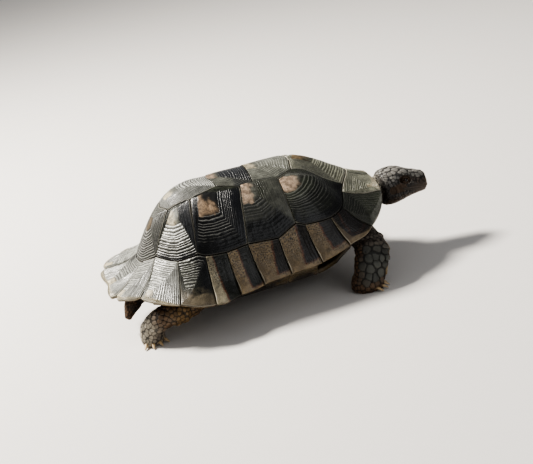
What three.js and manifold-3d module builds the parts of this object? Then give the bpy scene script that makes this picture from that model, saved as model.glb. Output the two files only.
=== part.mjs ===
// A life-size adult marginated tortoise, walking with its head stretched out.
// Millimetres: +X is towards the head, +Y to the left, +Z up. It stands on the floor, z = 0.
import * as THREE from 'three';
import Module from 'manifold-3d';

const wasm = await Module();
wasm.setup();

// Driving dimensions of the domed back. Seen from above, its edge (the seam between the large
// plates and the marginal plates) is a stadium of this radius round a piece of the midline.
const shellTop = 133;
const seamRadius = 66.5;
const frontSpineX = 47.5;
const rearSpineX = -44;
const spineHeight = 45; // of the middle line that every plate's thickness runs in towards
const halfSeam = Math.PI * seamRadius + frontSpineX - rearSpineX;
const crownReach = { side: 0.48, front: 0.37, rear: 0.53 }; // how far the top stays level, as a share
const seamHeight = { side: 78, front: 103, rear: 80 };
const seamSlope = { side: 60, front: 28, rear: 56 }; // degrees below level
const seamReach = { side: 32, front: 25, rear: 30 }; // length of the end tangent
const shoulderDip = { share: 0.11, centre: 28, halfWidth: 28 }; // flat shoulders beside the neck, degrees

// Stations along the edge of the left side, from the front midline to the rear midline: the
// distance along the seam, and the point of the rim there. They are the marginal plates' borders.
const edgeStations = [
  { seam: 0, rim: [135, 0, 94] },
  { seam: 6, rim: [137, 5, 92] },
  { seam: 37.5, rim: [141, 24, 78] },
  { seam: 58, rim: [114, 60, 57] },
  { seam: 78, rim: [85, 71, 48] },
  { seam: 107, rim: [53, 75, 40] },
  { seam: 136, rim: [20, 76, 38] },
  { seam: 167, rim: [-9, 79, 37] },
  { seam: 189, rim: [-35, 86, 37] },
  { seam: 210, rim: [-62, 93, 38] },
  { seam: 238, rim: [-95, 85, 45] },
  { seam: 266, rim: [-129, 59, 52] },
  { seam: 287, rim: [-152, 35, 51] },
  { seam: halfSeam, rim: [-154, 0, 50] },
];
const lastStation = edgeStations.length - 1;

// Where the seam wanders up (below 1) and down (above 1) the side of the dome.
const seamWander = [
  [0, 1], [27, 1], [78, 1], [107, 0.97], [115, 0.93], [136, 1.03], [167, 1], [189, 1.02],
  [210, 1], [217, 0.97], [238, 1.02], [266, 0.99], [287, 1.11], [halfSeam, 1.12],
];
const seamStep = 9; // longest side of a facet along the seam

// Inner corners of the large plates in the plan of the dome, left side.
const vertebralCorners = [[51, 20], [36, 24], [11, 21.5], [-3, 23.5], [-25, 16], [-52, 20.5], [-71, 15]];
const vertebralMids = [55, 12, -28, -76]; // where the borders between vertebral plates meet the midline
const costalSeams = [27, 115, 167, 217, 266]; // where the costal plates' borders reach the seam
const vertebralHearts = [66, 17, -23, -62, -90]; // the oldest spot of each vertebral plate, on the midline
const costalHearts = [[45, 32], [3, 31], [-39, 30], [-70, 26]];
const marginalHeart = { along: 0.7, down: 0.62 };

const plateThickness = 3;
const plateSwell = 1.3; // how far a large plate stands up at its oldest spot
const marginSwell = 0.8;
const plateGap = 0.3; // from each plate's border to the middle of its seam
const skinGap = 4; // between the plates and the body inside them
// How far each marginal plate bulges past its corners, from the front midline to the rear.
const rimWaves = [0, 0, 3, 1.5, 0.5, 0.5, 0.5, 2.5, 2.5, 2.5, 2.5, 2.5, 2.5];
// How much higher the rim of the flared rear edge stands on the left side: [station, height].
const leftFlare = [[8, 0], [9, 2], [10, 6], [11, 8], [12, 6], [13, 1], [14, 0]];

// Underside.
const plastronHeight = 18;
const plastronThickness = 5;
const bridge = { inner: 45, outer: 70.5, rise: 17 };
const lobeRise = { from: 60, to: 104, height: 7 };

const sideNames = [['l', 1], ['r', -1]];
const hornDark = { color: 0x3a3f3d, roughness: 0.42, metalness: 0 };
const hornPale = { color: 0x9a948a, roughness: 0.5, metalness: 0 };
const hornTan = { color: 0x8a7250, roughness: 0.5, metalness: 0 };
const plastronHorn = { color: 0x5b4a35, roughness: 0.5, metalness: 0 };
const skinBrown = { color: 0x5a4a3c, roughness: 0.75, metalness: 0 };
const skinDark = { color: 0x3a3835, roughness: 0.6, metalness: 0 };
const eyeDark = { color: 0x0d0b0a, roughness: 0.08, metalness: 0 };

const tortoise = new THREE.Group();

// ---- small helpers ----

const radians = THREE.MathUtils.degToRad;
const lerp = THREE.MathUtils.lerp;
const clamp = THREE.MathUtils.clamp;
const smoothstep = THREE.MathUtils.smoothstep;

function vec(x, y, z) {
  return new THREE.Vector3(x, y, z);
}

function bezier(a, b, c, d, t) {
  const s = 1 - t;
  return s * s * s * a + 3 * s * s * t * b + 3 * s * t * t * c + t * t * t * d;
}

function bezierPoint(a, b, c, d, t) {
  return vec(bezier(a.x, b.x, c.x, d.x, t), bezier(a.y, b.y, c.y, d.y, t), bezier(a.z, b.z, c.z, d.z, t));
}

// Straight-line reading of a list of [place, value] pairs.
function readAlong(pairs, place) {
  const i = Math.max(pairs.findIndex(([at]) => at >= place), 1);
  const [a, valueA] = pairs[i - 1];
  const [b, valueB] = pairs[i];
  return lerp(valueA, valueB, (place - a) / (b - a));
}

// ---- solids ----

// Points and triangles as a closed geometry: equal points are merged, empty triangles dropped,
// and the whole turned so that its faces point out.
function closedGeometry(points, triangles) {
  const seen = new Map();
  const merged = [];
  const place = points.map((p) => {
    const key = [p.x, p.y, p.z].map((v) => Math.round(v * 500)).join();
    if (!seen.has(key)) {
      seen.set(key, merged.length);
      merged.push(p);
    }
    return seen.get(key);
  });
  const indexed = triangles.map((t) => t.map((i) => place[i]));
  const kept = indexed.filter(([a, b, c]) => a !== b && b !== c && c !== a);
  const boxProduct = (a, b, c) => merged[a].dot(merged[b].clone().cross(merged[c]));
  const volume = kept.reduce((sum, corners) => sum + boxProduct(...corners), 0);
  const turned = volume > 0 ? kept : kept.map(([a, b, c]) => [a, c, b]);
  const geometry = new THREE.BufferGeometry();
  geometry.setAttribute('position', new THREE.Float32BufferAttribute(merged.flatMap((p) => p.toArray()), 3));
  geometry.setIndex(turned.flat());
  return geometry;
}

// Triangles between neighbouring rings of equally many points.
function sleeveTriangles(rings) {
  const count = rings[0].length;
  return rings.slice(1).flatMap((_, r) => Array.from({ length: count }, (__, i) => {
    const a = r * count + i;
    const b = r * count + (i + 1) % count;
    return [[a, b, b + count], [a, b + count, a + count]];
  })).flat();
}

// A body through rings whose ends are already folded shut.
function sleeve(rings) {
  return closedGeometry(rings.flat(), sleeveTriangles(rings));
}

// A closed body through rings, with each end a fan round its tip.
function loft(rings, startTip, endTip) {
  const count = rings[0].length;
  const start = rings.length * count;
  const caps = rings[0].flatMap((_, i) => {
    const j = (i + 1) % count;
    return [[start, j, i], [start + 1, start - count + i, start - count + j]];
  });
  return closedGeometry([...rings.flat(), startTip, endTip], [...sleeveTriangles(rings), ...caps]);
}

function middleOf(points) {
  return points.reduce((sum, p) => sum.add(p), vec(0, 0, 0)).divideScalar(points.length);
}

function toSolid(geometry) {
  return new wasm.Manifold(new wasm.Mesh({
    numProp: 3,
    vertProperties: new Float32Array(geometry.attributes.position.array),
    triVerts: new Uint32Array(geometry.index.array),
  }));
}

function toGeometry(solid) {
  const { numProp, vertProperties, triVerts } = solid.getMesh();
  const geometry = new THREE.BufferGeometry();
  const position = [];
  for (let i = 0; i < vertProperties.length; i += numProp) {
    position.push(vertProperties[i], vertProperties[i + 1], vertProperties[i + 2]);
  }
  geometry.setAttribute('position', new THREE.Float32BufferAttribute(position, 3));
  geometry.setIndex(Array.from(triVerts));
  return geometry;
}

function addMesh(name, geometry, finish) {
  const mesh = new THREE.Mesh(geometry, new THREE.MeshStandardMaterial(finish));
  mesh.name = name;
  tortoise.add(mesh);
}

// ---- the shell's surface ----

const frontArc = seamRadius * Math.PI / 2;
const sideRun = frontSpineX - rearSpineX;

// Spine point and direction of the rib that reaches the seam at this distance, left side.
function ribAt(distance) {
  if (distance < frontArc) {
    const angle = distance / seamRadius;
    return { spine: frontSpineX, x: Math.cos(angle), y: Math.sin(angle) };
  }
  if (distance < frontArc + sideRun) {
    return { spine: frontSpineX - (distance - frontArc), x: 0, y: 1 };
  }
  const angle = (distance - frontArc - sideRun) / seamRadius;
  return { spine: rearSpineX, x: -Math.sin(angle), y: Math.cos(angle) };
}

// Mixes the side value with the front or rear one, by how far the rib leans forwards or back.
function bySide({ side, front, rear }, leanX, frontPower, rearPower) {
  const toFront = Math.max(leanX, 0) ** frontPower;
  const toRear = Math.max(-leanX, 0) ** rearPower;
  return side + (front - side) * toFront + (rear - side) * toRear;
}

// The shell's radius along a rib as a share of the full one: a little less at the shoulders.
function dipAt({ x, y }) {
  const angle = THREE.MathUtils.radToDeg(Math.atan2(Math.abs(y), x));
  const offCentre = Math.min(Math.abs(angle - shoulderDip.centre) / shoulderDip.halfWidth, 1);
  return 1 - shoulderDip.share * Math.cos(offCentre * Math.PI / 2) ** 2;
}

function ribPoint({ spine, x, y }, t) {
  const radius = seamRadius * dipAt({ x, y });
  const height = bySide(seamHeight, x, 4, 5);
  const slope = radians(bySide(seamSlope, x, 2, 2));
  const reach = bySide(seamReach, x, 2, 2);
  const crown = bySide(crownReach, x, 2, 2);
  const out = bezier(0, crown * radius, radius - reach * Math.cos(slope), radius, t);
  const up = bezier(shellTop, shellTop, height + reach * Math.sin(slope), height, t);
  return vec(spine + x * out, y * out, up);
}

// A point of the dome from its place in the plan, where the seam is the edge of the stadium.
function domePoint([x, y]) {
  const spine = clamp(x, rearSpineX, frontSpineX);
  const out = Math.max(Math.hypot(x - spine, y), 1e-6);
  return ribPoint({ spine, x: (x - spine) / out, y: y / out }, out / seamRadius);
}

// Distances below 0 or past the rear midline run on along the right side.
function seamPlan(distance) {
  const folded = distance > halfSeam ? 2 * halfSeam - distance : Math.abs(distance);
  const side = distance < 0 || distance > halfSeam ? -1 : 1;
  const rib = ribAt(folded);
  const out = seamRadius * readAlong(seamWander, folded);
  return [rib.spine + rib.x * out, side * rib.y * out];
}

function stationOf(distance) {
  const k = clamp(edgeStations.findIndex(({ seam }) => seam >= distance) - 1, 0, lastStation - 1);
  const { seam: a } = edgeStations[k];
  const { seam: b } = edgeStations[k + 1];
  return k + (distance - a) / (b - a);
}

function seamOfStation(station) {
  const k = Math.min(Math.floor(station), lastStation - 1);
  return lerp(edgeStations[k].seam, edgeStations[k + 1].seam, station - k);
}

const rimLeft = edgeStations.map(({ rim }) => vec(...rim));
const rimRight = rimLeft.slice(1, -1).reverse().map((p) => vec(p.x, -p.y, p.z));
const rimCurve = new THREE.CatmullRomCurve3([...rimLeft, ...rimRight], true, 'catmullrom', 0.5);

// A point of the marginal plates: station along the edge, and 0 at the seam to 1 at the rim.
function marginPoint([station, down]) {
  if (station < 0 || station > lastStation) {
    const mirrored = marginPoint([station < 0 ? -station : 2 * lastStation - station, down]);
    return mirrored.setY(-mirrored.y);
  }
  const seam = domePoint(seamPlan(seamOfStation(station)));
  const rim = rimCurve.getPoint(station / (2 * lastStation));
  const out = vec(rim.x - seam.x, rim.y - seam.y, 0);
  const flat = out.length();
  out.normalize();
  const middle = station < 1 || station > lastStation - 1;
  const along = middle ? 0.5 + (station < 1 ? station : lastStation - station) / 2 : station % 1;
  const bulge = rimWaves[Math.min(Math.floor(station), rimWaves.length - 1)];
  const wave = bulge * (middle ? Math.cos((along - 0.5) * Math.PI) : Math.sin(along * Math.PI));
  rim.addScaledVector(out, wave * smoothstep(down, 0.3, 1));
  const chord = seam.distanceTo(rim);
  const slope = Math.atan2(seam.z - rim.z, flat);
  const bend = radians(lerp(3, 14, smoothstep(flat, 10, 26)));
  const pull = (angle) => out.clone().multiplyScalar(Math.cos(angle)).setZ(-Math.sin(angle));
  const first = seam.clone().addScaledVector(pull(slope + bend), chord / 3);
  const second = rim.clone().addScaledVector(pull(slope - bend), -chord / 3);
  return bezierPoint(seam, first, second, rim, down);
}

// Outward normal of a surface at a place in its plan.
const shellHeart = vec(-5, 0, 40);
function outwardNormal(surface, [u, v], [stepU, stepV]) {
  const alongU = surface([u + stepU, v]).sub(surface([u - stepU, v]));
  const alongV = surface([u, v + stepV]).sub(surface([u, v - stepV]));
  const normal = alongU.cross(alongV).normalize();
  const outside = surface([u, v]).sub(shellHeart);
  return normal.dot(outside) < 0 ? normal.negate() : normal;
}

// Direction from a point of the shell in towards its middle line.
function inward({ x, y, z }) {
  return vec(clamp(x, rearSpineX, frontSpineX) - x, -y, spineHeight - z).normalize();
}

// ---- the plates of the back ----

// A horn plate: rings from its oldest spot out to its border on the outer face, and back inside.
// Its thickness runs inwards at the seam, where it meets the others, and square to the face at
// the places where `squareness` is 1.
function plate({ surface, steps, border, heart, shares, swell, squareness = () => 0 }) {
  const heartPoint = surface(heart);
  const reach = border.map((b) => 1 - plateGap / surface(b).distanceTo(heartPoint));
  const placesAt = (share) => border.map((b, i) => {
    const r = share * reach[i];
    return [lerp(heart[0], b[0], r), lerp(heart[1], b[1], r)];
  });
  const raised = (at, height) => surface(at).addScaledVector(outwardNormal(surface, at, steps), height);
  const sunk = (at) => {
    const point = surface(at);
    const square = outwardNormal(surface, at, steps).negate();
    const direction = inward(point).lerp(square, squareness(at)).normalize();
    return point.addScaledVector(direction, plateThickness);
  };
  const outer = shares.map((share) => placesAt(share).map((at) => raised(at, swell * (1 - share ** 2))));
  const inner = [1, 0.55].map((share) => placesAt(share).map(sunk));
  return loft([...outer, ...inner], raised(heart, swell), sunk(heart));
}

// Places along the seam that plates on both sides of it share, so that their facets match.
const seamKnots = [...new Set([
  ...edgeStations.map(({ seam }) => seam),
  ...seamWander.map(([at]) => at),
  ...costalSeams,
])].sort((a, b) => a - b);

function seamSamples(from, to) {
  const both = [...seamKnots.map((k) => -k), ...seamKnots, ...seamKnots.map((k) => 2 * halfSeam - k)];
  const knots = [...new Set(both.map((k) => Math.round(k * 100) / 100))].sort((a, b) => a - b);
  const inside = knots.filter((k) => k > from + 0.05 && k < to - 0.05);
  const ends = [from, ...inside, to];
  const samples = [];
  for (let i = 0; i + 1 < ends.length; i += 1) {
    const pieces = Math.ceil((ends[i + 1] - ends[i]) / seamStep);
    for (let j = 0; j < pieces; j += 1) {
      samples.push(lerp(ends[i], ends[i + 1], j / pieces));
    }
  }
  return [...samples, to];
}

// A straight border in a plan, without its last point.
function straightRun(a, b, pieces) {
  return Array.from({ length: pieces }, (_, i) => {
    const share = i / pieces;
    return [lerp(a[0], b[0], share), lerp(a[1], b[1], share)];
  });
}

function throughCorners(corners, longest) {
  return corners.slice(0, -1).flatMap((a, i) => {
    const b = corners[i + 1];
    return straightRun(a, b, Math.ceil(Math.hypot(b[0] - a[0], b[1] - a[1]) / longest));
  });
}

const innerStep = 14;
const domeSteps = [0.5, 0.5];
const marginSteps = [0.02, 0.02];

function mirror([x, y]) {
  return [x, -y];
}

function vertebralBorder(index) {
  const c = vertebralCorners;
  const frontMid = [vertebralMids[index - 1], 0];
  const rearMid = [vertebralMids[index], 0];
  if (index === 0) {
    const front = seamSamples(-costalSeams[0], costalSeams[0]).map(seamPlan);
    const back = throughCorners([front.at(-1), c[0], rearMid, mirror(c[0]), front[0]], innerStep);
    return [...front, ...back.slice(1)];
  }
  if (index === 4) {
    const rear = seamSamples(costalSeams[4], 2 * halfSeam - costalSeams[4]).map(seamPlan);
    const fore = throughCorners([rear.at(-1), mirror(c[6]), frontMid, c[6], rear[0]], innerStep);
    return [...rear, ...fore.slice(1)];
  }
  const left = c.slice(2 * index - 2, 2 * index + 1);
  const right = left.map(mirror).reverse();
  return throughCorners([frontMid, ...left, rearMid, ...right, frontMid], innerStep);
}

function addDomePlate(name, border, heart, finish) {
  const shares = [0.3, 0.62, 1];
  const geometry = plate({ surface: domePoint, steps: domeSteps, shares, border, heart, swell: plateSwell });
  addMesh(name, geometry, finish);
}

function addVertebrals() {
  vertebralHearts.forEach((x, index) => {
    addDomePlate(`scute_vertebral_${index + 1}`, vertebralBorder(index), [x, 0], hornDark);
  });
}

function costalBorder(index) {
  const c = vertebralCorners;
  const low = seamSamples(costalSeams[index], costalSeams[index + 1]).map(seamPlan);
  const middle = c.slice(Math.max(2 * index - 1, 0), 2 * index + 2).reverse();
  const upper = index === 3 ? [c[6], c[5]] : middle;
  return [...low, ...throughCorners([low.at(-1), ...upper, low[0]], innerStep).slice(1)];
}

function addCostals() {
  sideNames.forEach(([side, sign]) => {
    costalHearts.forEach(([x, y], index) => {
      const border = costalBorder(index).map(([bx, by]) => [bx, sign * by]);
      const finish = index === 3 ? hornPale : hornDark;
      addDomePlate(`scute_costal_${side}_${index + 1}`, border, [x, sign * y], finish);
    });
  });
}

// Runs a reading of the left edge on along the right side, below 0 and past the rear midline.
function mirrored(read, place, length, mirroredLength) {
  if (place < 0) {
    return -read(-place);
  }
  return place > length ? 2 * mirroredLength - read(2 * length - place) : read(place);
}

// Border of an edge plate between two stations, from the seam out to the rim and back.
function marginBorder(from, to) {
  const distances = [from, to].map((station) => mirrored(seamOfStation, station, lastStation, halfSeam));
  const top = seamSamples(...distances).slice(1, -1);
  return [
    [from, 0],
    ...top.map((distance) => [mirrored(stationOf, distance, halfSeam, lastStation), 0]),
    ...straightRun([to, 0], [to, 1], 2),
    ...straightRun([to, 1], [from, 1], to - from > 1 ? 6 : 3),
    ...straightRun([from, 1], [from, 0], 2),
  ];
}

function leftFlareAt(station) {
  const k = leftFlare.findIndex(([end]) => end > station);
  if (k < 1) {
    return 0;
  }
  const [[a, low], [b, high]] = leftFlare.slice(k - 1, k + 1);
  return lerp(low, high, (station - a) / (b - a));
}

function addEdgePlate(name, from, to, heart, sign, finish) {
  const surface = (at) => {
    const p = marginPoint(at);
    const flare = sign > 0 ? leftFlareAt(at[0]) * smoothstep(at[1], 0.1, 1) : 0;
    return p.set(p.x, sign * p.y, p.z + flare);
  };
  const border = marginBorder(from, to);
  const squareness = ([, down]) => smoothstep(down, 0, 0.5);
  const shares = [0.5, 1];
  const swell = marginSwell;
  addMesh(name, plate({ surface, steps: marginSteps, shares, border, heart, swell, squareness }), finish);
}

function addMargin() {
  addEdgePlate('scute_nuchal', -1, 1, [0, 0.55], 1, hornPale);
  addEdgePlate('scute_supracaudal', lastStation - 1, lastStation + 1, [lastStation, 0.5], 1, hornPale);
  sideNames.forEach(([side, sign]) => {
    for (let k = 1; k < lastStation - 1; k += 1) {
      const heart = [k + marginalHeart.along, marginalHeart.down];
      const finish = k === 1 || k > 8 ? hornPale : k > 3 ? hornTan : hornDark;
      addEdgePlate(`scute_marginal_${side}_${k}`, k, k + 1, heart, sign, finish);
    }
  });
}

// ---- the underside ----

function plastronPoint([x, y]) {
  const side = smoothstep(Math.abs(y), bridge.inner, bridge.outer);
  const lobe = smoothstep(Math.abs(x + 4), lobeRise.from, lobeRise.to);
  return vec(x, y, plastronHeight + bridge.rise * side + lobeRise.height * lobe);
}

// Left plates of the underside: corners in the plan, from the midline round.
const plastronPlates = [
  ['gular', [[74, 0], [104, 0], [106, 10], [97, 25]]],
  ['humeral', [[47, 0], [74, 0], [97, 25], [76, 42], [53, 48]]],
  ['pectoral', [[20, 0], [47, 0], [53, 48], [48, 70], [20, 70]]],
  ['abdominal', [[-44, 0], [20, 0], [20, 70], [-38, 70], [-44, 50]]],
  ['femoral', [[-80, 0], [-44, 0], [-44, 50], [-70, 49], [-94, 40]]],
  ['anal', [[-106, 0], [-80, 0], [-94, 40], [-114, 20]]],
];

function plastronPlate(corners, sign) {
  const border = throughCorners([...corners, corners[0]], 26).map(([x, y]) => [x, sign * y]);
  const heart = border.reduce(([x, y], b) => [x + b[0] / border.length, y + b[1] / border.length], [0, 0]);
  const ringAt = (share, up) => border.map((b) => {
    const far = Math.hypot(b[0] - heart[0], b[1] - heart[1]);
    const r = share * (1 - plateGap / far);
    return plastronPoint([lerp(heart[0], b[0], r), lerp(heart[1], b[1], r)]).add(vec(0, 0, up));
  });
  const thickness = plastronThickness;
  const rings = [ringAt(0.55, 0), ringAt(1, 0), ringAt(1, thickness), ringAt(0.55, thickness)];
  const lift = vec(0, 0, thickness);
  return loft(rings, plastronPoint(heart), plastronPoint(heart).add(lift));
}

function addPlastron() {
  sideNames.forEach(([side, sign]) => {
    plastronPlates.forEach(([name, corners]) => {
      addMesh(`plastron_${name}_${side}`, plastronPlate(corners, sign), plastronHorn);
    });
  });
}

// ---- the body inside the shell ----

// The trunk, grown by the amount asked: rings from the midline under the back, down inside the
// plates and the walls, to the midline over the underside. The first and last rings lie folded
// flat on the midline, so the body closes without tips.
function trunkSolid(grow) {
  const stops = 36;
  const ribs = Array.from({ length: stops }, (_, i) => {
    const distance = (i / stops) * 2 * halfSeam;
    const rib = ribAt(Math.min(distance, 2 * halfSeam - distance));
    return distance > halfSeam ? { ...rib, y: -rib.y } : rib;
  });
  const ringAt = (radius, pointAt) => ribs.map((rib) => {
    const out = radius * dipAt(rib);
    return pointAt([rib.spine + rib.x * out, rib.y * out]);
  });
  const domeRing = (share) => ribs.map((rib) => {
    const point = ribPoint(rib, share);
    return point.addScaledVector(inward(point), plateThickness + skinGap - grow);
  });
  const wallRing = (radius, height) => ringAt(radius + grow, ([x, y]) => vec(x, y, height));
  const floorRing = (radius) => ringAt(radius + (radius && grow), (at) => {
    return plastronPoint(at).add(vec(0, 0, plastronThickness + skinGap - grow));
  });
  const rings = [
    ...[0, 0.3, 0.55, 0.78, 0.94].map(domeRing),
    wallRing(56, 62),
    wallRing(54, 46),
    floorRing(45),
    floorRing(22),
    floorRing(0),
  ];
  return toSolid(sleeve(rings));
}

// ---- head, neck, tail and legs ----

// A ring of a body part that runs forwards: [x, y, half width, top, bottom], a little boxier
// than an ellipse and fullest below its middle.
function crossSection([x, y, halfWidth, top, bottom], sides) {
  const middle = (top + bottom) / 2;
  return Array.from({ length: sides }, (_, i) => {
    const turn = (i / sides) * 2 * Math.PI;
    const c = Math.cos(turn);
    const s = Math.sin(turn);
    const wide = Math.sign(c) * Math.abs(c) ** 0.88 * halfWidth;
    const high = Math.sign(s) * Math.abs(s) ** 0.88 * (top - middle);
    return vec(x, y + wide * (1 - 0.1 * s), middle + high);
  });
}

function sectionSolid(sections, sides, tipX) {
  const rings = sections.map((section) => crossSection(section, sides));
  const end = middleOf(rings.at(-1));
  return toSolid(loft(rings, middleOf(rings[0]), end.setX(tipX ?? end.x)));
}

const neckSections = [
  [92, 0, 20, 88, 46], [112, 0, 18.5, 86, 48], [124, 0, 16.5, 84.5, 51], [134, 0, 15, 84, 53],
  [140, 0, 15.5, 87.5, 53.5], [146, 0, 15.5, 88.5, 53.5],
];
const headSections = [
  [146.3, 0, 15.5, 88.5, 53.5], [150, 0, 17.2, 90, 52.5], [158, 0, 18.4, 91, 52], [166, 0, 18, 90.5, 53],
  [173, 0, 16, 88, 54.5], [180, 0, 13.8, 84.5, 55.5], [187, 0, 11.6, 81.5, 56], [193, 0, 10, 79, 56.5],
  [197.5, 0, 8, 75.5, 58],
];
const snoutTip = 199.5;
const eye = { x: 171.5, y: 11.8, z: 75.5, radius: 5 };

function ballSolid(x, y, z, radius, detail) {
  const ball = new THREE.IcosahedronGeometry(radius, detail).translate(x, y, z);
  const position = ball.attributes.position;
  const points = Array.from({ length: position.count }, (_, i) => vec(0, 0, 0).fromBufferAttribute(position, i));
  const triangles = Array.from({ length: points.length / 3 }, (_, i) => [3 * i, 3 * i + 1, 3 * i + 2]);
  return toSolid(closedGeometry(points, triangles));
}

function addHeadAndNeck(trunkGrown) {
  let head = sectionSolid(headSections, 20, snoutTip);
  sideNames.forEach(([side, sign]) => {
    head = head.subtract(ballSolid(eye.x, sign * eye.y, eye.z, eye.radius + 0.35, 1));
    addMesh(`eye_${side}`, toGeometry(ballSolid(eye.x, sign * eye.y, eye.z, eye.radius, 1)), eyeDark);
  });
  addMesh('head', toGeometry(head), skinDark);
  addMesh('neck', toGeometry(sectionSolid(neckSections, 18).subtract(trunkGrown)), skinBrown);
}

// A tube with elliptical sections through stations of [x, y, z, half width, half depth]. The
// wide way of a section stays as near to the X axis as the path lets it.
function tubeSolid(stations, sides = 12, pieces = 7) {
  const centres = stations.map(([x, y, z]) => vec(x, y, z));
  const curve = new THREE.CatmullRomCurve3(centres, false, 'catmullrom', 0.5);
  const read = (share, column) => {
    const at = share * (stations.length - 1);
    const k = Math.min(Math.floor(at), stations.length - 2);
    return lerp(stations[k][column], stations[k + 1][column], smoothstep(at - k, 0, 1));
  };
  const rings = Array.from({ length: pieces + 1 }, (_, i) => {
    const share = i / pieces;
    const centre = curve.getPoint(share);
    const along = curve.getTangent(share);
    const flat = Math.abs(along.x) > 0.85 ? vec(0, 0, 1) : vec(1, 0, 0);
    const wide = flat.addScaledVector(along, -along.dot(flat)).normalize();
    const deep = along.clone().cross(wide);
    return Array.from({ length: sides }, (__, s) => {
      const turn = (s / sides) * 2 * Math.PI;
      return centre.clone().addScaledVector(wide, read(share, 3) * Math.cos(turn))
        .addScaledVector(deep, read(share, 4) * Math.sin(turn));
    });
  });
  return toSolid(loft(rings, middleOf(rings[0]), middleOf(rings.at(-1))));
}

const upright = vec(0, 0, 1);

// A foot: level ellipses from the flat sole up to a rounded top, turned about the upright.
function footSolid({ at: [x, y], height, long, wide, heading }) {
  const profile = [[0, 0.88], [0.15, 1], [0.55, 0.96], [0.85, 0.76], [1, 0.4]];
  const turn = radians(heading);
  const rings = profile.map(([up, size]) => Array.from({ length: 12 }, (_, i) => {
    const a = (i / 12) * 2 * Math.PI;
    const place = vec(long * size * Math.cos(a), wide * size * Math.sin(a), up * height);
    return place.applyAxisAngle(upright, turn).add(vec(x, y, 0));
  }));
  return toSolid(loft(rings, middleOf(rings[0]), middleOf(rings.at(-1))));
}

const claw = { length: 8.5, halfWidth: 2.4, halfHeight: 2, drop: 2.4, height: 4.2, clear: 0.6 };

// A claw that starts inside the foot and curves down towards the floor without reaching it.
function clawSolid(x, y, heading) {
  const turn = radians(heading);
  const ahead = vec(Math.cos(turn), Math.sin(turn), 0);
  const across = vec(-Math.sin(turn), Math.cos(turn), 0);
  const rings = [0, 0.4, 0.75].map((share) => {
    const height = claw.height - claw.drop * share ** 2;
    const centre = vec(x, y, height).addScaledVector(ahead, claw.length * share);
    const size = 1 - 0.62 * share;
    return Array.from({ length: 6 }, (_, i) => {
      const a = (i / 6) * 2 * Math.PI;
      return centre.clone().addScaledVector(across, claw.halfWidth * size * Math.cos(a))
        .add(vec(0, 0, claw.halfHeight * size * Math.sin(a)));
    });
  });
  const tip = vec(x, y, claw.clear).addScaledVector(ahead, claw.length);
  return toSolid(loft(rings, middleOf(rings[0]), tip));
}

function clawsOf({ at: [x, y], long, wide, heading }, count, fan) {
  return Array.from({ length: count }, (_, i) => {
    const off = radians((i / (count - 1) - 0.5) * fan);
    const turn = radians(heading);
    const u = (long - 3) * Math.cos(off);
    const v = (wide - 3) * Math.sin(off) * 1.1;
    const root = vec(u, v, 0).applyAxisAngle(upright, turn).add(vec(x, y, 0));
    return clawSolid(root.x, root.y, heading + THREE.MathUtils.radToDeg(off) * 0.55);
  });
}

// Each leg: the stations of its tube from inside the body down to the ankle, and its foot.
const legs = {
  fore_r: {
    stations: [[76, -32, 58, 13, 13], [104, -48, 46, 16, 10], [107, -66, 36, 18, 10], [101, -75, 24, 18, 11],
      [94, -78, 8, 16, 11]],
    foot: { at: [93, -78], height: 22, long: 17, wide: 12.5, heading: -14 },
    claws: 5,
    fan: 120,
  },
  fore_l: {
    stations: [[76, 32, 58, 13, 13], [104, 48, 46, 16, 10], [112, 66, 36, 17, 10], [113, 75, 22, 16, 11],
      [111, 78, 8, 15, 12]],
    foot: { at: [111, 78], height: 22, long: 16, wide: 13, heading: 15 },
    claws: 5,
    fan: 120,
  },
  hind_r: {
    stations: [[-52, -32, 56, 16, 16], [-70, -54, 40, 16, 13], [-92, -65, 31, 13, 13], [-110, -62, 28, 12, 12],
      [-123, -54, 18, 12, 12]],
    foot: { at: [-125, -52], height: 26, long: 12, wide: 12.5, heading: -84 },
    claws: 4,
    fan: 110,
  },
  hind_l: {
    stations: [[-52, 32, 56, 16, 16], [-62, 52, 42, 17, 13], [-62, 66, 32, 16, 13], [-66, 70, 18, 15, 13],
      [-68, 70, 8, 14, 13]],
    foot: { at: [-68, 70], height: 22, long: 15, wide: 14, heading: 20 },
    claws: 4,
    fan: 90,
  },
};

function legSolid({ stations, foot, claws, fan }) {
  const pieces = [footSolid(foot), ...clawsOf(foot, claws, fan)];
  return pieces.reduce((sum, piece) => sum.add(piece), tubeSolid(stations));
}

function addLegs(trunkGrown) {
  Object.entries(legs).forEach(([name, leg]) => {
    addMesh(`leg_${name}`, toGeometry(legSolid(leg).subtract(trunkGrown)), skinBrown);
  });
}

const tailStations = [[-88, 0, 50, 13, 13], [-114, -3, 42, 12, 12], [-132, -8, 29, 9, 9], [-142, -16, 17, 4.5, 4.5]];

function addTail(trunkGrown) {
  addMesh('tail', toGeometry(tubeSolid(tailStations, 12, 7).subtract(trunkGrown)), skinBrown);
}

// ---- the whole animal ----

addVertebrals();
addCostals();
addMargin();
addPlastron();
addMesh('trunk', toGeometry(trunkSolid(0)), skinBrown);
const trunkGrown = trunkSolid(0.35);
addHeadAndNeck(trunkGrown);
addLegs(trunkGrown);
addTail(trunkGrown);

// The origin is on the floor, under the middle of the whole animal.
const centre = new THREE.Box3().setFromObject(tortoise).getCenter(vec(0, 0, 0));
tortoise.children.forEach((mesh) => mesh.geometry.translate(-centre.x, -centre.y, 0));

export default tortoise;
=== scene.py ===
import math

import bpy
import numpy as np
from mathutils import Matrix, Vector, noise
from mathutils.bvhtree import BVHTree
from mathutils.kdtree import KDTree


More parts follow.
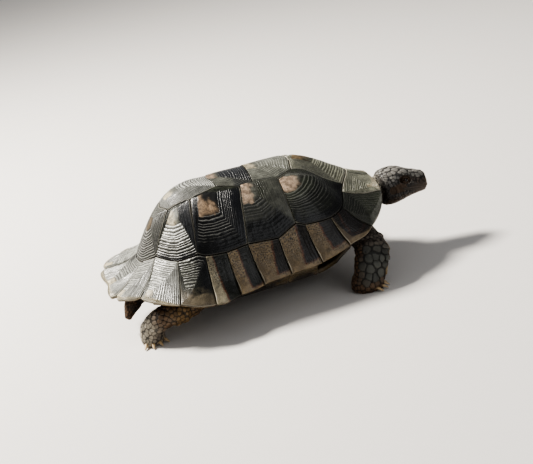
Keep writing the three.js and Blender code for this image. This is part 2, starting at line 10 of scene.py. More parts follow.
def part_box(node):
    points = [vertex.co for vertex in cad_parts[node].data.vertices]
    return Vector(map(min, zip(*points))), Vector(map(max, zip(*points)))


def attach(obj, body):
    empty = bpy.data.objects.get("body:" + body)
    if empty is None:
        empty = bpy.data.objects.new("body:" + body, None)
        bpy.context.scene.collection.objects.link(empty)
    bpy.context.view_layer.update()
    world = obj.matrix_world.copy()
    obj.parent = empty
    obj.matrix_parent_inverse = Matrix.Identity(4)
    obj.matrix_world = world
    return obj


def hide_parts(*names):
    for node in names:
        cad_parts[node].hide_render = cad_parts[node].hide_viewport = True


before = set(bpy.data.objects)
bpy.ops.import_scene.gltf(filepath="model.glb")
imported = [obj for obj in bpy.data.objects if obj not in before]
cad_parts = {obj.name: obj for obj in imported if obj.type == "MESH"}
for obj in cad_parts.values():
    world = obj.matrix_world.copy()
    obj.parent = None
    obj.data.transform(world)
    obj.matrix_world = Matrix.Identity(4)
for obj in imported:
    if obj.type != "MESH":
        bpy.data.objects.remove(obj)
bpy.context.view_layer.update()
sides = (("l", 1), ("r", -1))

# Points are worked out in millimetres, with the nose on the middle line and the soles at 0.
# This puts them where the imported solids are.
headTipX = 199.5
headLow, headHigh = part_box("head")
middleShift = np.array([headHigh.x * 1000 - headTipX, (headLow.y + headHigh.y) * 500, 0])


def smooth(value, start, end):
    t = np.clip((np.asarray(value, float) - start) / (end - start), 0, 1)
    return t * t * (3 - 2 * t)


def lerp(a, b, t):
    return a + (b - a) * t


def bezier(a, b, c, d, t):
    s = 1 - t
    return s**3 * a + 3 * s * s * t * b + 3 * s * t * t * c + t**3 * d


def hermite(a, b, leaving, arriving, t):
    # A curve from a to b that leaves and arrives with the slopes given.
    return ((2 * t**3 - 3 * t**2 + 1) * a + (t**3 - 2 * t**2 + t) * leaving
            + (3 * t**2 - 2 * t**3) * b + (t**3 - t**2) * arriving)


def unit(v):
    return v / np.maximum(np.linalg.norm(v, axis=-1, keepdims=True), 1e-9)


def wobble(points, scale, seed, octaves=2):
    # Smooth noise from about -1 to 1 at each point, features about `scale` mm across.
    start = Vector((seed * 17.3, seed * 5.1, seed * 9.7))
    places = np.asarray(points, float) / scale
    return np.array([noise.fractal(Vector(p) + start, 0.6, 2.0, octaves) for p in places.tolist()])


def gaussian(value, width):
    return np.exp(-(np.asarray(value) / width) ** 2)


def circle(count):
    return np.linspace(0, 2 * np.pi, count, endpoint=False)


def treeOf(points):
    tree = KDTree(len(points))
    for i, p in enumerate(points.tolist()):
        tree.insert(p, i)
    tree.balance()
    return tree


def enclosed(points, faces):
    # Six times the volume inside lists of triangles and of quads, below zero where they face inwards.
    return sum((np.cross(points[f[:, 0]], points[f[:, i - 1]]) * points[f[:, i]]).sum()
               for f in faces for i in range(2, f.shape[1]))


def makePiece(name, points, faces, material, attributes):
    if enclosed(points, faces) < 0:
        faces = [f[:, ::-1] for f in faces]
    mesh = bpy.data.meshes.new(name)
    mesh.vertices.add(len(points))
    mesh.vertices.foreach_set("co", ((points + middleShift) / 1000).astype(np.float32).ravel())
    sizes = np.concatenate([np.full(len(f), f.shape[1]) for f in faces])
    mesh.loops.add(int(sizes.sum()))
    mesh.loops.foreach_set("vertex_index", np.concatenate([f.ravel() for f in faces]).astype(np.int32))
    mesh.polygons.add(len(sizes))
    mesh.polygons.foreach_set("loop_start", (np.cumsum(sizes) - sizes).astype(np.int32))
    mesh.update(calc_edges=True)
    mesh.shade_smooth()
    for key, values in attributes.items():
        if values.ndim == 2:
            colour = np.column_stack([values, np.ones(len(values))])
            mesh.attributes.new(key, "FLOAT_COLOR", "POINT").data.foreach_set("color", colour.ravel())
        else:
            mesh.attributes.new(key, "FLOAT", "POINT").data.foreach_set("value", values)
    mesh.materials.append(material)
    piece = bpy.data.objects.new(name, mesh)
    bpy.context.scene.collection.objects.link(piece)
    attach(piece, "root")
    return piece


def ringFaces(rows, count):
    # Quads between rows of `count` points that close on themselves.
    i = np.arange(count)
    j = (i + 1) % count
    row = np.arange(rows - 1)[:, None] * count
    return np.stack([row + i, row + j, row + count + j, row + count + i], -1).reshape(-1, 4)


def fanFaces(tip, start, count, turned):
    i = np.arange(count)
    j = (i + 1) % count
    pair = (j + start, i + start) if turned else (i + start, j + start)
    return np.column_stack([np.full(count, tip), *pair])


class Wire:
    # A socket that can be calculated with.
    def __init__(self, paint, socket):
        self.paint = paint
        self.socket = socket

    def __add__(self, other):
        return self.paint.maths("ADD", self, other)

    def __sub__(self, other):
        return self.paint.maths("SUBTRACT", self, other)

    def __mul__(self, other):
        return self.paint.maths("MULTIPLY", self, other)

    def __rsub__(self, other):
        return self.paint.maths("SUBTRACT", other, self)

    __radd__ = __add__
    __rmul__ = __mul__


class Paint:
    # One material, written as sums on its sockets.
    def __init__(self, name):
        self.material = bpy.data.materials.new(name)
        self.material.use_nodes = True
        self.nodes = self.material.node_tree.nodes
        self.links = self.material.node_tree.links
        self.shader = self.nodes["Principled BSDF"]

    def node(self, kind, settings=None, values=None, out=0):
        made = self.nodes.new(kind)
        for key, value in (settings or {}).items():
            setattr(made, key, value)
        for key, value in (values or {}).items():
            self.plug(made.inputs[key], value)
        return Wire(self, made.outputs[out])

    def plug(self, socket, value):
        if isinstance(value, Wire):
            self.links.new(value.socket, socket)
        elif socket.type == "RGBA" and len(value) == 3:
            socket.default_value = (*value, 1)
        else:
            socket.default_value = value

    def maths(self, operation, a, b=0.0):
        return self.node("ShaderNodeMath", {"operation": operation}, {0: a, 1: b})

    def step(self, value, start, end):
        settings = {"interpolation_type": "SMOOTHSTEP"}
        return self.node("ShaderNodeMapRange", settings, {"Value": value, "From Min": start, "From Max": end})

    def mix(self, factor, a, b, blend="MIX"):
        return self.node("ShaderNodeMix", {"data_type": "RGBA", "blend_type": blend},
                         {0: factor, 6: a, 7: b}, out=2)

    def tinted(self, colour, amount):
        # amount is one number, or one each for red, green and blue
        return self.mix(1.0, colour, tuple(np.broadcast_to(amount, 3)), "MULTIPLY")

    def blend(self, factor, a, b):
        return self.node("ShaderNodeMix", {"data_type": "FLOAT"}, {0: factor, 2: a, 3: b})

    def scaled(self, vector, amounts):
        return self.node("ShaderNodeVectorMath", {"operation": "MULTIPLY"}, {0: vector, 1: amounts})

    def vector(self, x, y, z):
        return self.node("ShaderNodeCombineXYZ", {}, {0: x, 1: y, 2: z})

    def attribute(self, name, colour=False):
        return self.node("ShaderNodeAttribute", {"attribute_name": name}, out=0 if colour else 2)

    def place(self):
        return self.node("ShaderNodeTexCoord", out=3)

    def noise(self, scale, detail=3.0, roughness=0.55, place=None):
        # scale is in features for each metre
        values = {"Vector": place or self.place(), "Scale": scale, "Detail": detail, "Roughness": roughness}
        return self.node("ShaderNodeTexNoise", {}, values)

    def cells(self, scale):
        values = {"Vector": self.place(), "Scale": scale}
        return self.node("ShaderNodeTexVoronoi", {"feature": "DISTANCE_TO_EDGE"}, values)

    def bump(self, height, strength, distance):
        return self.node("ShaderNodeBump", {}, {"Height": height, "Strength": strength, "Distance": distance})

    def set(self, **values):
        for key, value in values.items():
            self.plug(self.shader.inputs[key.replace("_", " ")], value)
        return self.material


# The shell's surface, by the same formulas as the solids.

shell = {
    "top": 133, "radius": 66.5, "frontSpine": 47.5, "rearSpine": -44, "spineHeight": 45,
    "crown": (0.48, 0.37, 0.53),  # side, front, rear
    "height": (78, 103, 80),
    "slope": (60, 28, 56),
    "reach": (32, 25, 30),
    "dip": (0.11, 28, 28),  # share, centre and half width in degrees
    "inside": (-5, 0, 40),  # a place that every plate faces away from
    "waves": (0, 0, 3, 1.5, 0.5, 0.5, 0.5, 2.5, 2.5, 2.5, 2.5, 2.5, 2.5),  # how far each edge plate bulges
    "leftFlare": [(8, 0), (9, 2), (10, 6), (11, 8), (12, 6), (13, 1), (14, 0)],  # how much higher that rim stands
}
frontArc = shell["radius"] * math.pi / 2
sideRun = shell["frontSpine"] - shell["rearSpine"]
halfSeam = 2 * frontArc + sideRun
seamMarks = [0, 6, 37.5, 58, 78, 107, 136, 167, 189, 210, 238, 266, 287, halfSeam]
rimMarks = np.array([
    (135, 0, 94), (137, 5, 92), (141, 24, 78), (114, 60, 57), (85, 71, 48), (53, 75, 40), (20, 76, 38),
    (-9, 79, 37), (-35, 86, 37), (-62, 93, 38), (-95, 85, 45), (-129, 59, 52), (-152, 35, 51), (-154, 0, 50),
], float)
lastStation = len(seamMarks) - 1
wander = np.array([
    (0, 1), (27, 1), (78, 1), (107, 0.97), (115, 0.93), (136, 1.03), (167, 1), (189, 1.02), (210, 1),
    (217, 0.97), (238, 1.02), (266, 0.99), (287, 1.11), (halfSeam, 1.12),
], float)
vertebralCorners = np.array([(51, 20), (36, 24), (11, 21.5), (-3, 23.5), (-25, 16), (-52, 20.5), (-71, 15)], float)
vertebralMids = [55, 12, -28, -76]
costalSeams = [27, 115, 167, 217, 266]


def ribAt(distance):
    d = np.asarray(distance, float)
    r = shell["radius"]
    rear = (d - frontArc - sideRun) / r
    spine = np.clip(shell["frontSpine"] - (d - frontArc), shell["rearSpine"], shell["frontSpine"])
    x = np.where(d < frontArc, np.cos(d / r), np.where(d < frontArc + sideRun, 0, -np.sin(rear)))
    y = np.where(d < frontArc, np.sin(d / r), np.where(d < frontArc + sideRun, 1, np.cos(rear)))
    return spine, x, y


def bySide(key, x, frontPower=2, rearPower=2):
    side, front, rear = shell[key]
    return side + (front - side) * np.maximum(x, 0) ** frontPower + (rear - side) * np.maximum(-x, 0) ** rearPower


def ribPoint(spine, x, y, t):
    share, centre, halfWidth = shell["dip"]
    angle = np.degrees(np.arctan2(np.abs(y), x))
    off = np.minimum(np.abs(angle - centre) / halfWidth, 1)
    radius = shell["radius"] * (1 - share * np.cos(off * math.pi / 2) ** 2)
    height = bySide("height", x, 4, 5)
    slope = np.radians(bySide("slope", x))
    reach = bySide("reach", x)
    out = bezier(0, bySide("crown", x) * radius, radius - reach * np.cos(slope), radius, t)
    up = bezier(shell["top"], shell["top"], height + reach * np.sin(slope), height, t)
    return np.stack([spine + x * out, y * out, up], -1)


def domePoint(plan):
    x, y = plan[..., 0], plan[..., 1]
    spine = np.clip(x, shell["rearSpine"], shell["frontSpine"])
    out = np.maximum(np.hypot(x - spine, y), 1e-6)
    return ribPoint(spine, (x - spine) / out, y / out, out / shell["radius"])


def seamPlan(distance):
    d = np.asarray(distance, float)
    folded = np.where(d > halfSeam, 2 * halfSeam - d, np.abs(d))
    side = np.where((d < 0) | (d > halfSeam), -1, 1)
    spine, x, y = ribAt(folded)
    out = shell["radius"] * np.interp(folded, wander[:, 0], wander[:, 1])
    return np.stack([spine + x * out, side * y * out], -1)


def rimPoint(station):
    # A closed Catmull-Rom curve through the rim marks of both sides.
    ring = np.concatenate([rimMarks, rimMarks[-2:0:-1] * (1, -1, 1)])
    s = np.asarray(station, float)
    k = np.floor(s).astype(int)
    f = (s - k)[..., None]
    a, b, c, d = (ring[(k + i) % len(ring)] for i in (-1, 0, 1, 2))
    return hermite(b, c, (c - a) / 2, (d - b) / 2, f)


def marginPoint(plan):
    # plan is the station along the edge, and 0 at the seam to 1 at the rim.
    station, down = plan[..., 0], plan[..., 1]
    side = np.where((station < 0) | (station > lastStation), -1, 1)
    s = np.where(station > lastStation, 2 * lastStation - station, np.abs(station))
    seam = domePoint(seamPlan(np.interp(s, range(lastStation + 1), seamMarks)))
    rim = rimPoint(s)
    out = rim - seam
    out[..., 2] = 0
    flat = np.linalg.norm(out, axis=-1)
    out = unit(out)
    middle = (s < 1) | (s > lastStation - 1)
    along = np.where(middle, 0.5 + np.where(s < 1, s, lastStation - s) / 2, s % 1)
    bulge = np.array(shell["waves"])[np.minimum(s.astype(int), lastStation - 1)]
    wave = bulge * np.where(middle, np.cos((along - 0.5) * math.pi), np.sin(along * math.pi))
    rim = rim + out * (wave * smooth(down, 0.3, 1))[..., None]
    chord = np.linalg.norm(seam - rim, axis=-1)
    slope = np.arctan2(seam[..., 2] - rim[..., 2], flat)
    bend = np.radians(lerp(3, 14, smooth(flat, 10, 26)))
    first = seam + pull(out, slope + bend) * (chord / 3)[..., None]
    second = rim - pull(out, slope - bend) * (chord / 3)[..., None]
    point = bezier(seam, first, second, rim, down[..., None])
    point[..., 1] *= side
    return point


def leftMarginPoint(plan):
    # The rear edge flares higher on the left side.
    point = marginPoint(plan)
    marks = np.array(shell["leftFlare"], float)
    point[..., 2] += np.interp(plan[..., 0], marks[:, 0], marks[:, 1]) * smooth(plan[..., 1], 0.1, 1)
    return point


def pull(out, angle):
    way = out * np.cos(angle)[..., None]
    way[..., 2] = -np.sin(angle)
    return way


def outwardNormal(surface, plan, steps):
    u = np.array([steps[0], 0])
    v = np.array([0, steps[1]])
    normal = unit(np.cross(surface(plan + u) - surface(plan - u), surface(plan + v) - surface(plan - v)))
    outside = surface(plan) - np.array(shell["inside"])
    return normal * np.where(np.sum(normal * outside, -1, keepdims=True) < 0, -1, 1)


def inward(point):
    spine = np.stack([np.clip(point[..., 0], shell["rearSpine"], shell["frontSpine"]),
                      np.zeros(point.shape[:-1]), np.full(point.shape[:-1], float(shell["spineHeight"]))], -1)
    return unit(spine - point)


def srgb(red, green, blue):
    # An everyday 0-255 colour as the linear values that shaders take.
    c = np.array([red, green, blue]) / 255
    return np.where(c <= 0.04045, c / 12.92, ((c + 0.055) / 1.055) ** 2.4)


plateMake = {
    "gap": 0.3, "grain": 0.85,  # grain: millimetres between points along a border
    "seamPoints": 34, "rimStep": 1 / 44,  # of an edge plate, for each station along
    "rowsPerRing": 5, "nestRows": 8, "ridge": 0.36, "seamDrop": 0.8, "seamWidth": 0.9,
    "borderWobble": 0.55, "cornerSoftness": 2.5, "jitter": 0.2, "jitterSize": 6,
    "innerRows": (1, 0.8, 0.55, 0.25),  # how far from the middle each row of the inner face lies
}


def straight(a, b, step=None):
    # Points from a towards b, without b.
    a, b = np.asarray(a, float), np.asarray(b, float)
    count = max(int(np.hypot(*(b - a)) / (step or plateMake["grain"])), 2)
    return a + (b - a) * (np.arange(count) / count)[:, None]


def seamRun(start, end):
    count = int((end - start) / plateMake["grain"])
    return seamPlan(np.linspace(start, end, count, endpoint=False))


def throughCorners(*corners):
    return np.concatenate([straight(a, b) for a, b in zip(corners, corners[1:])])


def mirror(point):
    return np.asarray(point) * (1, -1)


def vertebralRuns(index):
    c = vertebralCorners
    front = (vertebralMids[index - 1], 0)
    rear = (vertebralMids[index], 0) if index < 4 else None
    if index == 0:
        edge = costalSeams[0]
        return [("front", seamRun(-edge, edge)), ("side", straight(seamPlan(edge), c[0])),
                ("rear", throughCorners(c[0], rear, mirror(c[0]))), ("side", straight(mirror(c[0]), seamPlan(-edge)))]
    if index == 4:
        edge = costalSeams[4]
        far = 2 * halfSeam - edge
        return [("rear", seamRun(edge, far)), ("side", straight(seamPlan(far), mirror(c[6]))),
                ("front", throughCorners(mirror(c[6]), front, c[6])), ("side", straight(c[6], seamPlan(edge)))]
    left = c[2 * index - 2:2 * index + 1]
    right = mirror(left)[::-1]
    return [("front", straight(front, left[0])), ("side", throughCorners(*left)),
            ("rear", throughCorners(left[-1], rear, right[0])), ("side", throughCorners(*right)),
            ("front", straight(right[-1], front))]


def costalRuns(index):
    start, end = costalSeams[index:index + 2]
    top = vertebralCorners[max(2 * index - 1, 0):2 * index + 2][::-1]
    if index == 3:
        top = vertebralCorners[[6, 5]]
    return [("low", seamRun(start, end)), ("rear", straight(seamPlan(end), top[0])),
            ("top", throughCorners(*top)), ("front", straight(top[-1], seamPlan(start)))]


def marginRuns(start, end, cuts=()):
    # Each cut draws the rim in: where along the plate, how much of its height, how wide.
    wide = end - start

    def rimAt(along):
        return 1 - sum((depth * np.exp(-((along - place) / width) ** 2) for place, depth, width in cuts), 0 * along)

    def distanceOf(station):
        d = np.interp(min(abs(station), 2 * lastStation - station), range(lastStation + 1), seamMarks)
        return -d if station < 0 else (2 * halfSeam - d if station > lastStation else d)

    count = int(plateMake["seamPoints"] * wide) + 8
    d = np.linspace(distanceOf(start), distanceOf(end), count, endpoint=False)
    folded = np.interp(np.where(d > halfSeam, 2 * halfSeam - d, np.abs(d)), seamMarks, range(lastStation + 1))
    stations = np.where(d < 0, -folded, np.where(d > halfSeam, 2 * lastStation - folded, folded))
    step = plateMake["rimStep"]
    front, rear = rimAt(np.array([0.0, 1.0]))
    rim = straight((end, 1), (start, 1), step)
    rim[:, 1] = rimAt((rim[:, 0] - start) / wide)
    return [("seam", np.column_stack([stations, np.zeros(len(d))])), ("rear", straight((end, 0), (end, rear), step)),
            ("rim", rim), ("front", straight((start, front), (start, 0), step))]


def domeWobble(plan):
    # The plates' borders wander a little, but not where they meet the edge plates.
    spine = np.clip(plan[:, 0], shell["rearSpine"], shell["frontSpine"])
    share = np.hypot(plan[:, 0] - spine, plan[:, 1]) / shell["radius"]
    flat = np.column_stack([plan, np.zeros(len(plan))])
    size = plateMake["borderWobble"] * (1 - smooth(share, 0.75, 0.93))
    offset = np.column_stack([wobble(flat, 9, 1), wobble(flat, 9, 2) * np.minimum(np.abs(plan[:, 1]), 1)])
    return plan + offset * size[:, None]


def ringShares(count, nest, rng):
    # Rows of a plate: a few over its oldest part, then several for each growth ring.
    widths = rng.uniform(0.55, 1.45, count) * np.linspace(1.15, 0.85, count)
    marks = np.concatenate([[0], np.cumsum(widths) / widths.sum()])
    rings = np.arange(0, count * plateMake["rowsPerRing"] + 1) / plateMake["rowsPerRing"]
    shares = nest + (1 - nest) * np.interp(rings, range(count + 1), marks)
    core = np.linspace(0, 1, plateMake["nestRows"])[1:-1]
    return np.concatenate([core * nest, shares]), np.concatenate([core - 1, rings])


def labelWeights(runs):
    # How much each border point belongs to each side of the plate, softened at the corners.
    names = np.concatenate([[name] * len(points) for name, points in runs])
    reach = plateMake["cornerSoftness"] / plateMake["grain"]
    kernel = np.exp(-(np.arange(-12, 13) / reach) ** 2)
    kernel /= kernel.sum()
    weights = {}
    for name in sorted(set(names)):
        hit = (names == name).astype(float)
        weights[name] = np.convolve(np.concatenate([hit[-12:], hit, hit[:12]]), kernel, "valid")
    return weights


def maskOf(patch, weights, row, plan, border, grain):
    # Where a patch of a plate's look lies, from its ranges along the plan's two ways and over the rings.
    soft = patch.get("soft", 0.06)
    low, span = border.min(0), np.ptp(border, axis=0)
    share = (plan - low) / span
    mask = patch.get("strength", 1) + 0 * share[..., 0]
    places = {"along": share[..., 0] + patch.get("slant", 0) * (share[..., 1] - 0.5), "down": share[..., 1],
              "rows": row + 0 * share[..., 0]}
    for key, place in places.items():
        if key in patch:
            first, last = patch[key]
            place = place + grain * soft * patch.get("ragged", 0.9)
            mask = mask * smooth(place, first - soft, first + soft) * (1 - smooth(place, last - soft, last + soft))
    return mask * weights[patch["side"]] if "side" in patch else mask


def shadeOf(look, weights, share, nest, growth, plan, border, grain):
    # Colour of each point of a plate, from its side, its ring and the patches of its look.
    colour = sum(np.outer(weight, look[name])[None] for name, weight in weights.items())
    colour = np.broadcast_to(colour, (len(share), *colour.shape[1:])).copy()
    row = share[:, None]
    for patch in look.get("patches", ()):
        mask = maskOf(patch, weights, row, plan, border, grain)
        colour = lerp(colour, np.asarray(patch["tint"]), mask[..., None])
    nestMask = 1 - smooth(row + 0.03 * grain, nest - 0.02, nest + 0.025)
    if "nest" in look:
        first, second, (turnX, turnY), cut = look["nest"]
        size = np.ptp(border, axis=0) * nest / 2
        middle = growth + (border.mean(0) - growth) * nest
        lean = ((plan - middle) / size) @ np.array([turnX, turnY]) + 0.35 * grain
        tint = lerp(np.asarray(first), np.asarray(second), smooth(lean, cut - 0.35, cut + 0.35)[..., None])
        colour = lerp(colour, tint, nestMask[..., None])
    return colour, nestMask


def sideAmount(amounts, weights):
    # A number of the look, either one for the plate or one for each side of it.
    if not isinstance(amounts, dict):
        return amounts * np.ones(len(next(iter(weights.values()))))
    return sum(weight * amounts.get(name, 0) for name, weight in weights.items())


def makePlate(name, kind, runs, heart, look, material, sign, nodes, seed):
    rng = np.random.default_rng(seed)
    surface, steps = kind["surface"], kind["steps"]
    border = np.concatenate([points for _, points in runs])
    if surface is domePoint:
        border = domeWobble(border)
    nest = look["nestShare"]
    growth = (np.asarray(heart, float) - border.mean(0) * nest) / (1 - nest)
    share, ring = ringShares(look["rings"], nest, rng)
    centre = surface(growth[None])[0]
    edge = surface(border)
    reach = 1 - look.get("gap", plateMake["gap"]) / np.linalg.norm(edge - centre, axis=1)
    plan = growth + (border - growth) * (share[:, None] * reach)[..., None]
    base = surface(plan)
    normal = outwardNormal(surface, plan, steps)
    span = np.linalg.norm(edge - centre, axis=1)
    places = base.reshape(-1, 3)
    grain = wobble(places, 7, seed % 5 + 3, 3).reshape(base.shape[:2])
    jitter = wobble(places, look.get("jitterSize", plateMake["jitterSize"]), seed % 7 + 9, 3).reshape(grain.shape)
    jitter *= look.get("jitter", plateMake["jitter"])
    weights = labelWeights(runs)
    colour, nestMask = shadeOf(look, weights, share, nest, growth, plan, border, grain)

    # height: the swell, the rings' ridges, the pits of the oldest part and the drop into the seam
    fromEdge = (1 - share)[:, None] * span
    wave = ring[:, None] + jitter
    fraction = wave - np.floor(wave)
    ridge = smooth(fraction, 0.12, 0.44) * (1 - smooth(fraction, 0.56, 0.88))
    room = np.clip(span * (1 - nest) / look["rings"] / 2.4, 0.2, 1)  # narrow rings are low
    first, last = look.get("fade", (2, 3))
    fading = 1 - smooth(share[:, None] + 0.1 * grain, first, last)
    strong = sideAmount(look["ridge"], weights) * room * (1 - nestMask) * (0.35 + 0.65 * fading)
    height = kind["swell"] * (1 - share[:, None] ** 2) + plateMake["ridge"] * strong * (ridge - 0.6)
    height += 0.2 * grain * (1 - np.exp(-fromEdge / 3))
    height += nestMask * (0.12 + 0.22 * wobble(places, 6, 7).reshape(grain.shape))
    height -= plateMake["seamDrop"] * np.exp(-(fromEdge / plateMake["seamWidth"]) ** 2)
    top = base + normal * height[..., None]

    # the inner face
    inPlan = growth + (border - growth) * (np.array(plateMake["innerRows"])[:, None] * reach)[..., None]
    inBase = surface(inPlan)
    square = -outwardNormal(surface, inPlan, steps)
    way = unit(lerp(inward(inBase), square, kind["square"](inPlan)[..., None]))
    inner = inBase + way * kind["thickness"]
    tips = np.stack([centre + outwardNormal(surface, growth[None], steps)[0] * height[0].mean(), inner[-1].mean(0)])
    count = len(border)
    rows = len(share) + len(inner)
    points = np.concatenate([top.reshape(-1, 3), inner.reshape(-1, 3), tips]) * (1, sign, 1)
    fans = [fanFaces(rows * count, 0, count, True), fanFaces(rows * count + 1, (rows - 1) * count, count, False)]
    quads = ringFaces(rows, count)
    if sign > 0:
        quads = quads[:, ::-1]
        fans = [f[:, ::-1] for f in fans]
    pad = len(inner) * count + 2

    def spread(values, fill):
        return np.concatenate([values.reshape(len(share) * count, *values.shape[2:]),
                               np.tile(fill, (pad, 1)) if values.ndim == 3 else np.full(pad, fill)])

    under = look.get("under", underHorn)
    colours = spread(colour, under)
    colours[-2] = colour[0].mean(0)
    nestShown = spread(nestMask, 0.0)
    nestShown[-2] = 1
    even = np.ones_like(grain)
    run = np.concatenate([[0], np.cumsum(np.linalg.norm(np.diff(edge, axis=0), axis=1))])
    attributes = {
        "horn": colours,
        "ring": spread(wave, -1.0),
        "around": spread(run * even, 0.0),
        "crest": spread(sideAmount(look["crest"], weights) * fading * (1 - nestMask), 0.0),
        "groove": spread(sideAmount(look.get("groove", 0.5), weights) * (1 - nestMask), 0.0),
        "marks": spread(sideAmount(look.get("marks", 0), weights) * (1 - nestMask), 0.0),
        "nest": nestShown,
        "edge": spread(fromEdge, 9.0),
        "pale": spread(sideAmount(look.get("pale", 0.15), weights) * even, 0.0),
    }
    piece = makePiece(name, points, [quads, *fans], material, attributes)
    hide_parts(*nodes)
    return piece


underHorn = srgb(96, 78, 52)
hornBlack = srgb(13, 14, 14)
hornBlue = srgb(31, 33, 37)
hornGreen = srgb(60, 63, 52)
hornGrey = srgb(104, 105, 97)
hornSilver = srgb(168, 169, 162)
hornCream = srgb(196, 186, 160)
hornTan = srgb(142, 122, 86)
hornDrab = srgb(144, 126, 98)
hornRust = srgb(92, 56, 36)
hornSoot = srgb(19, 14, 10)
areolaTan = srgb(158, 136, 112)
areolaPale = srgb(172, 152, 132)
hornMoss = srgb(122, 122, 106)

# Looks of the plates. A colour for each side; crest and groove say how strongly the rings are drawn,
# fade is where they die out towards the newest ring.
# Crest draws the rings' tops paler, partly the horn's own pale rings and partly painted highlight; groove darkens the
# grooves between them as painted shade.
costalLooks = [
    {"rings": 14, "nestShare": 0.3, "ridge": 0.55, "jitter": 0.13,
     "crest": {"front": 1.6, "low": 0.7, "rear": 0.8, "top": 1.2},
     "groove": 0.8, "fade": (0.5, 0.9), "low": hornGreen * 0.35, "rear": hornGreen, "top": hornMoss * 0.5,
     "front": hornGreen * 0.7,
     "nest": (areolaPale * 1.1, hornGrey * 0.9, (1, -0.2), 0.6), "pale": {"rear": 0.8, "top": 0.4},
     "patches": [{"side": "low", "rows": (0.86, 2), "tint": hornBlack},
                 {"side": "low", "rows": (0.3, 0.5), "tint": hornGreen},
                 {"side": "front", "rows": (0.3, 0.55), "tint": hornGrey * 0.8},
                 {"side": "front", "rows": (0.8, 2), "tint": hornGreen, "strength": 0.6}]},
    {"rings": 13, "nestShare": 0.36, "ridge": 0.6, "crest": 0.35, "groove": 0.5, "fade": (0.4, 0.75),
     "low": hornGrey * 0.32, "rear": hornGrey * 0.7, "top": hornGrey * 0.75, "front": hornGreen * 0.8,
     "nest": (areolaPale, hornGrey * 0.75, (1, 0.1), 0.15), "pale": {"rear": 0.5, "front": 0.5, "top": 0.2},
     "patches": [{"side": "low", "rows": (0.68, 2), "tint": hornBlack, "soft": 0.05},
                 {"side": "front", "rows": (0.55, 2), "tint": hornGrey * 0.6, "soft": 0.2}]},
    {"rings": 13, "nestShare": 0.38, "ridge": 1.15, "crest": {"low": 1.1, "rear": 0.6, "front": 0.9, "top": 0.5},
     "groove": 0.5, "jitter": 0.13, "fade": (0.62, 0.86), "low": hornBlack, "rear": hornBlue, "top": hornGreen * 0.8,
     "front": hornBlue * 0.8, "nest": (areolaTan, hornBlack * 2, (0.75, -0.6), 0.1),
     "pale": {"rear": 0.5, "front": 0.9, "top": 0.4},
     "patches": [{"side": "low", "rows": (0.88, 2), "tint": hornBlack * 0.7, "soft": 0.03}]},
    {"rings": 13, "nestShare": 0.3, "ridge": 1.3, "jitter": 0.15,
     "crest": {"low": 1.4, "rear": 0.9, "front": 0.6, "top": 1},
     "groove": {"low": 2, "rear": 1.4, "front": 1.4, "top": 1.2}, "fade": (0.9, 1.05), "low": hornGrey * 0.5,
     "rear": hornGrey * 0.55, "top": hornGrey * 0.9, "front": hornBlue * 1.6,
     "nest": (hornCream * 0.8, hornGrey, (1, 0), 0.1), "pale": {"rear": 0.4, "front": 0.7},
     "patches": [{"side": "low", "rows": (0.25, 0.62), "tint": hornSilver * 0.7, "soft": 0.1},
                 {"side": "low", "rows": (0.9, 2), "tint": hornBlue * 0.7, "soft": 0.04}]},
]
vertebralLooks = [
    {"rings": 14, "nestShare": 0.34, "ridge": 0.42, "jitter": 0.15, "crest": 0.9, "groove": 0.8, "front": hornMoss,
     "side": hornMoss * 0.75, "rear": hornMoss * 0.8, "nest": (hornDrab * 0.6, hornMoss * 0.6, (1, 0), 0.3),
     "pale": {"front": 1, "rear": 0.6, "side": 0.4}},
    {"rings": 13, "nestShare": 0.3, "ridge": 0.5, "crest": 0.5, "groove": 0.4, "front": hornGrey * 1.05,
     "side": hornGrey, "rear": hornGrey * 0.95, "nest": (hornCream * 0.7, hornGrey * 0.8, (1, 0), 0.2),
     "pale": {"rear": 0.5, "front": 0.3}},
    {"rings": 13, "nestShare": 0.3, "ridge": 0.5, "crest": 0.45, "groove": 0.5, "front": hornBlue * 0.9,
     "side": hornGrey * 0.8, "rear": hornGrey * 0.85, "nest": (areolaPale * 0.7, hornGrey * 0.7, (1, 0), 0.3),
     "patches": [{"side": "side", "along": (0.5, 2), "rows": (0.5, 2), "tint": hornBlue * 0.8, "strength": 0.7}]},
    {"rings": 15, "nestShare": 0.26, "jitter": 0.15, "ridge": 0.9, "crest": 1.5, "groove": 1.6,
     "front": hornSilver * 0.6, "side": hornSilver * 0.45, "rear": hornSilver * 0.5,
     "nest": (hornCream * 0.8, hornGrey, (1, 0), 0.1),
     "pale": {"side": 0.6, "front": 0.5}},
    {"rings": 12, "nestShare": 0.24, "ridge": 1.1, "crest": 2.4, "groove": 2.4, "front": hornGrey * 0.6,
     "side": hornGrey * 0.28, "rear": hornGrey * 0.35, "nest": (hornDrab * 0.5, hornBlack * 4, (0, 1), 0.4),
     "pale": {"front": 0.6, "side": 0.3}},
]


def bandLook(seamEnd, rimEnd, bottom, tan=hornDrab * 0.54, dark=hornSoot):
    # A side plate: dark in front, tan behind, the dark part narrower or wider towards the rim.
    middle, slant = (seamEnd + rimEnd) / 2, seamEnd - rimEnd
    border = {"along": (-1, middle + 0.05), "down": (-1, bottom + 0.02), "tint": hornRust, "soft": 0.03}
    front = {"along": (-1, middle), "down": (-1, bottom), "tint": dark, "soft": 0.035}
    return {
        "rings": 9, "nestShare": 0.2, "ridge": 0.3, "crest": 0.1, "groove": 0.22, "jitter": 0.25, "seam": tan,
        "rear": tan, "rim": tan * 1.1, "front": tan, "marks": {"seam": 0.95, "rear": 0.95, "rim": 0.25, "front": 0.9},
        "pale": {"rear": 1, "seam": 0.25}, "patches": [{**patch, "slant": slant} for patch in (border, front)]}


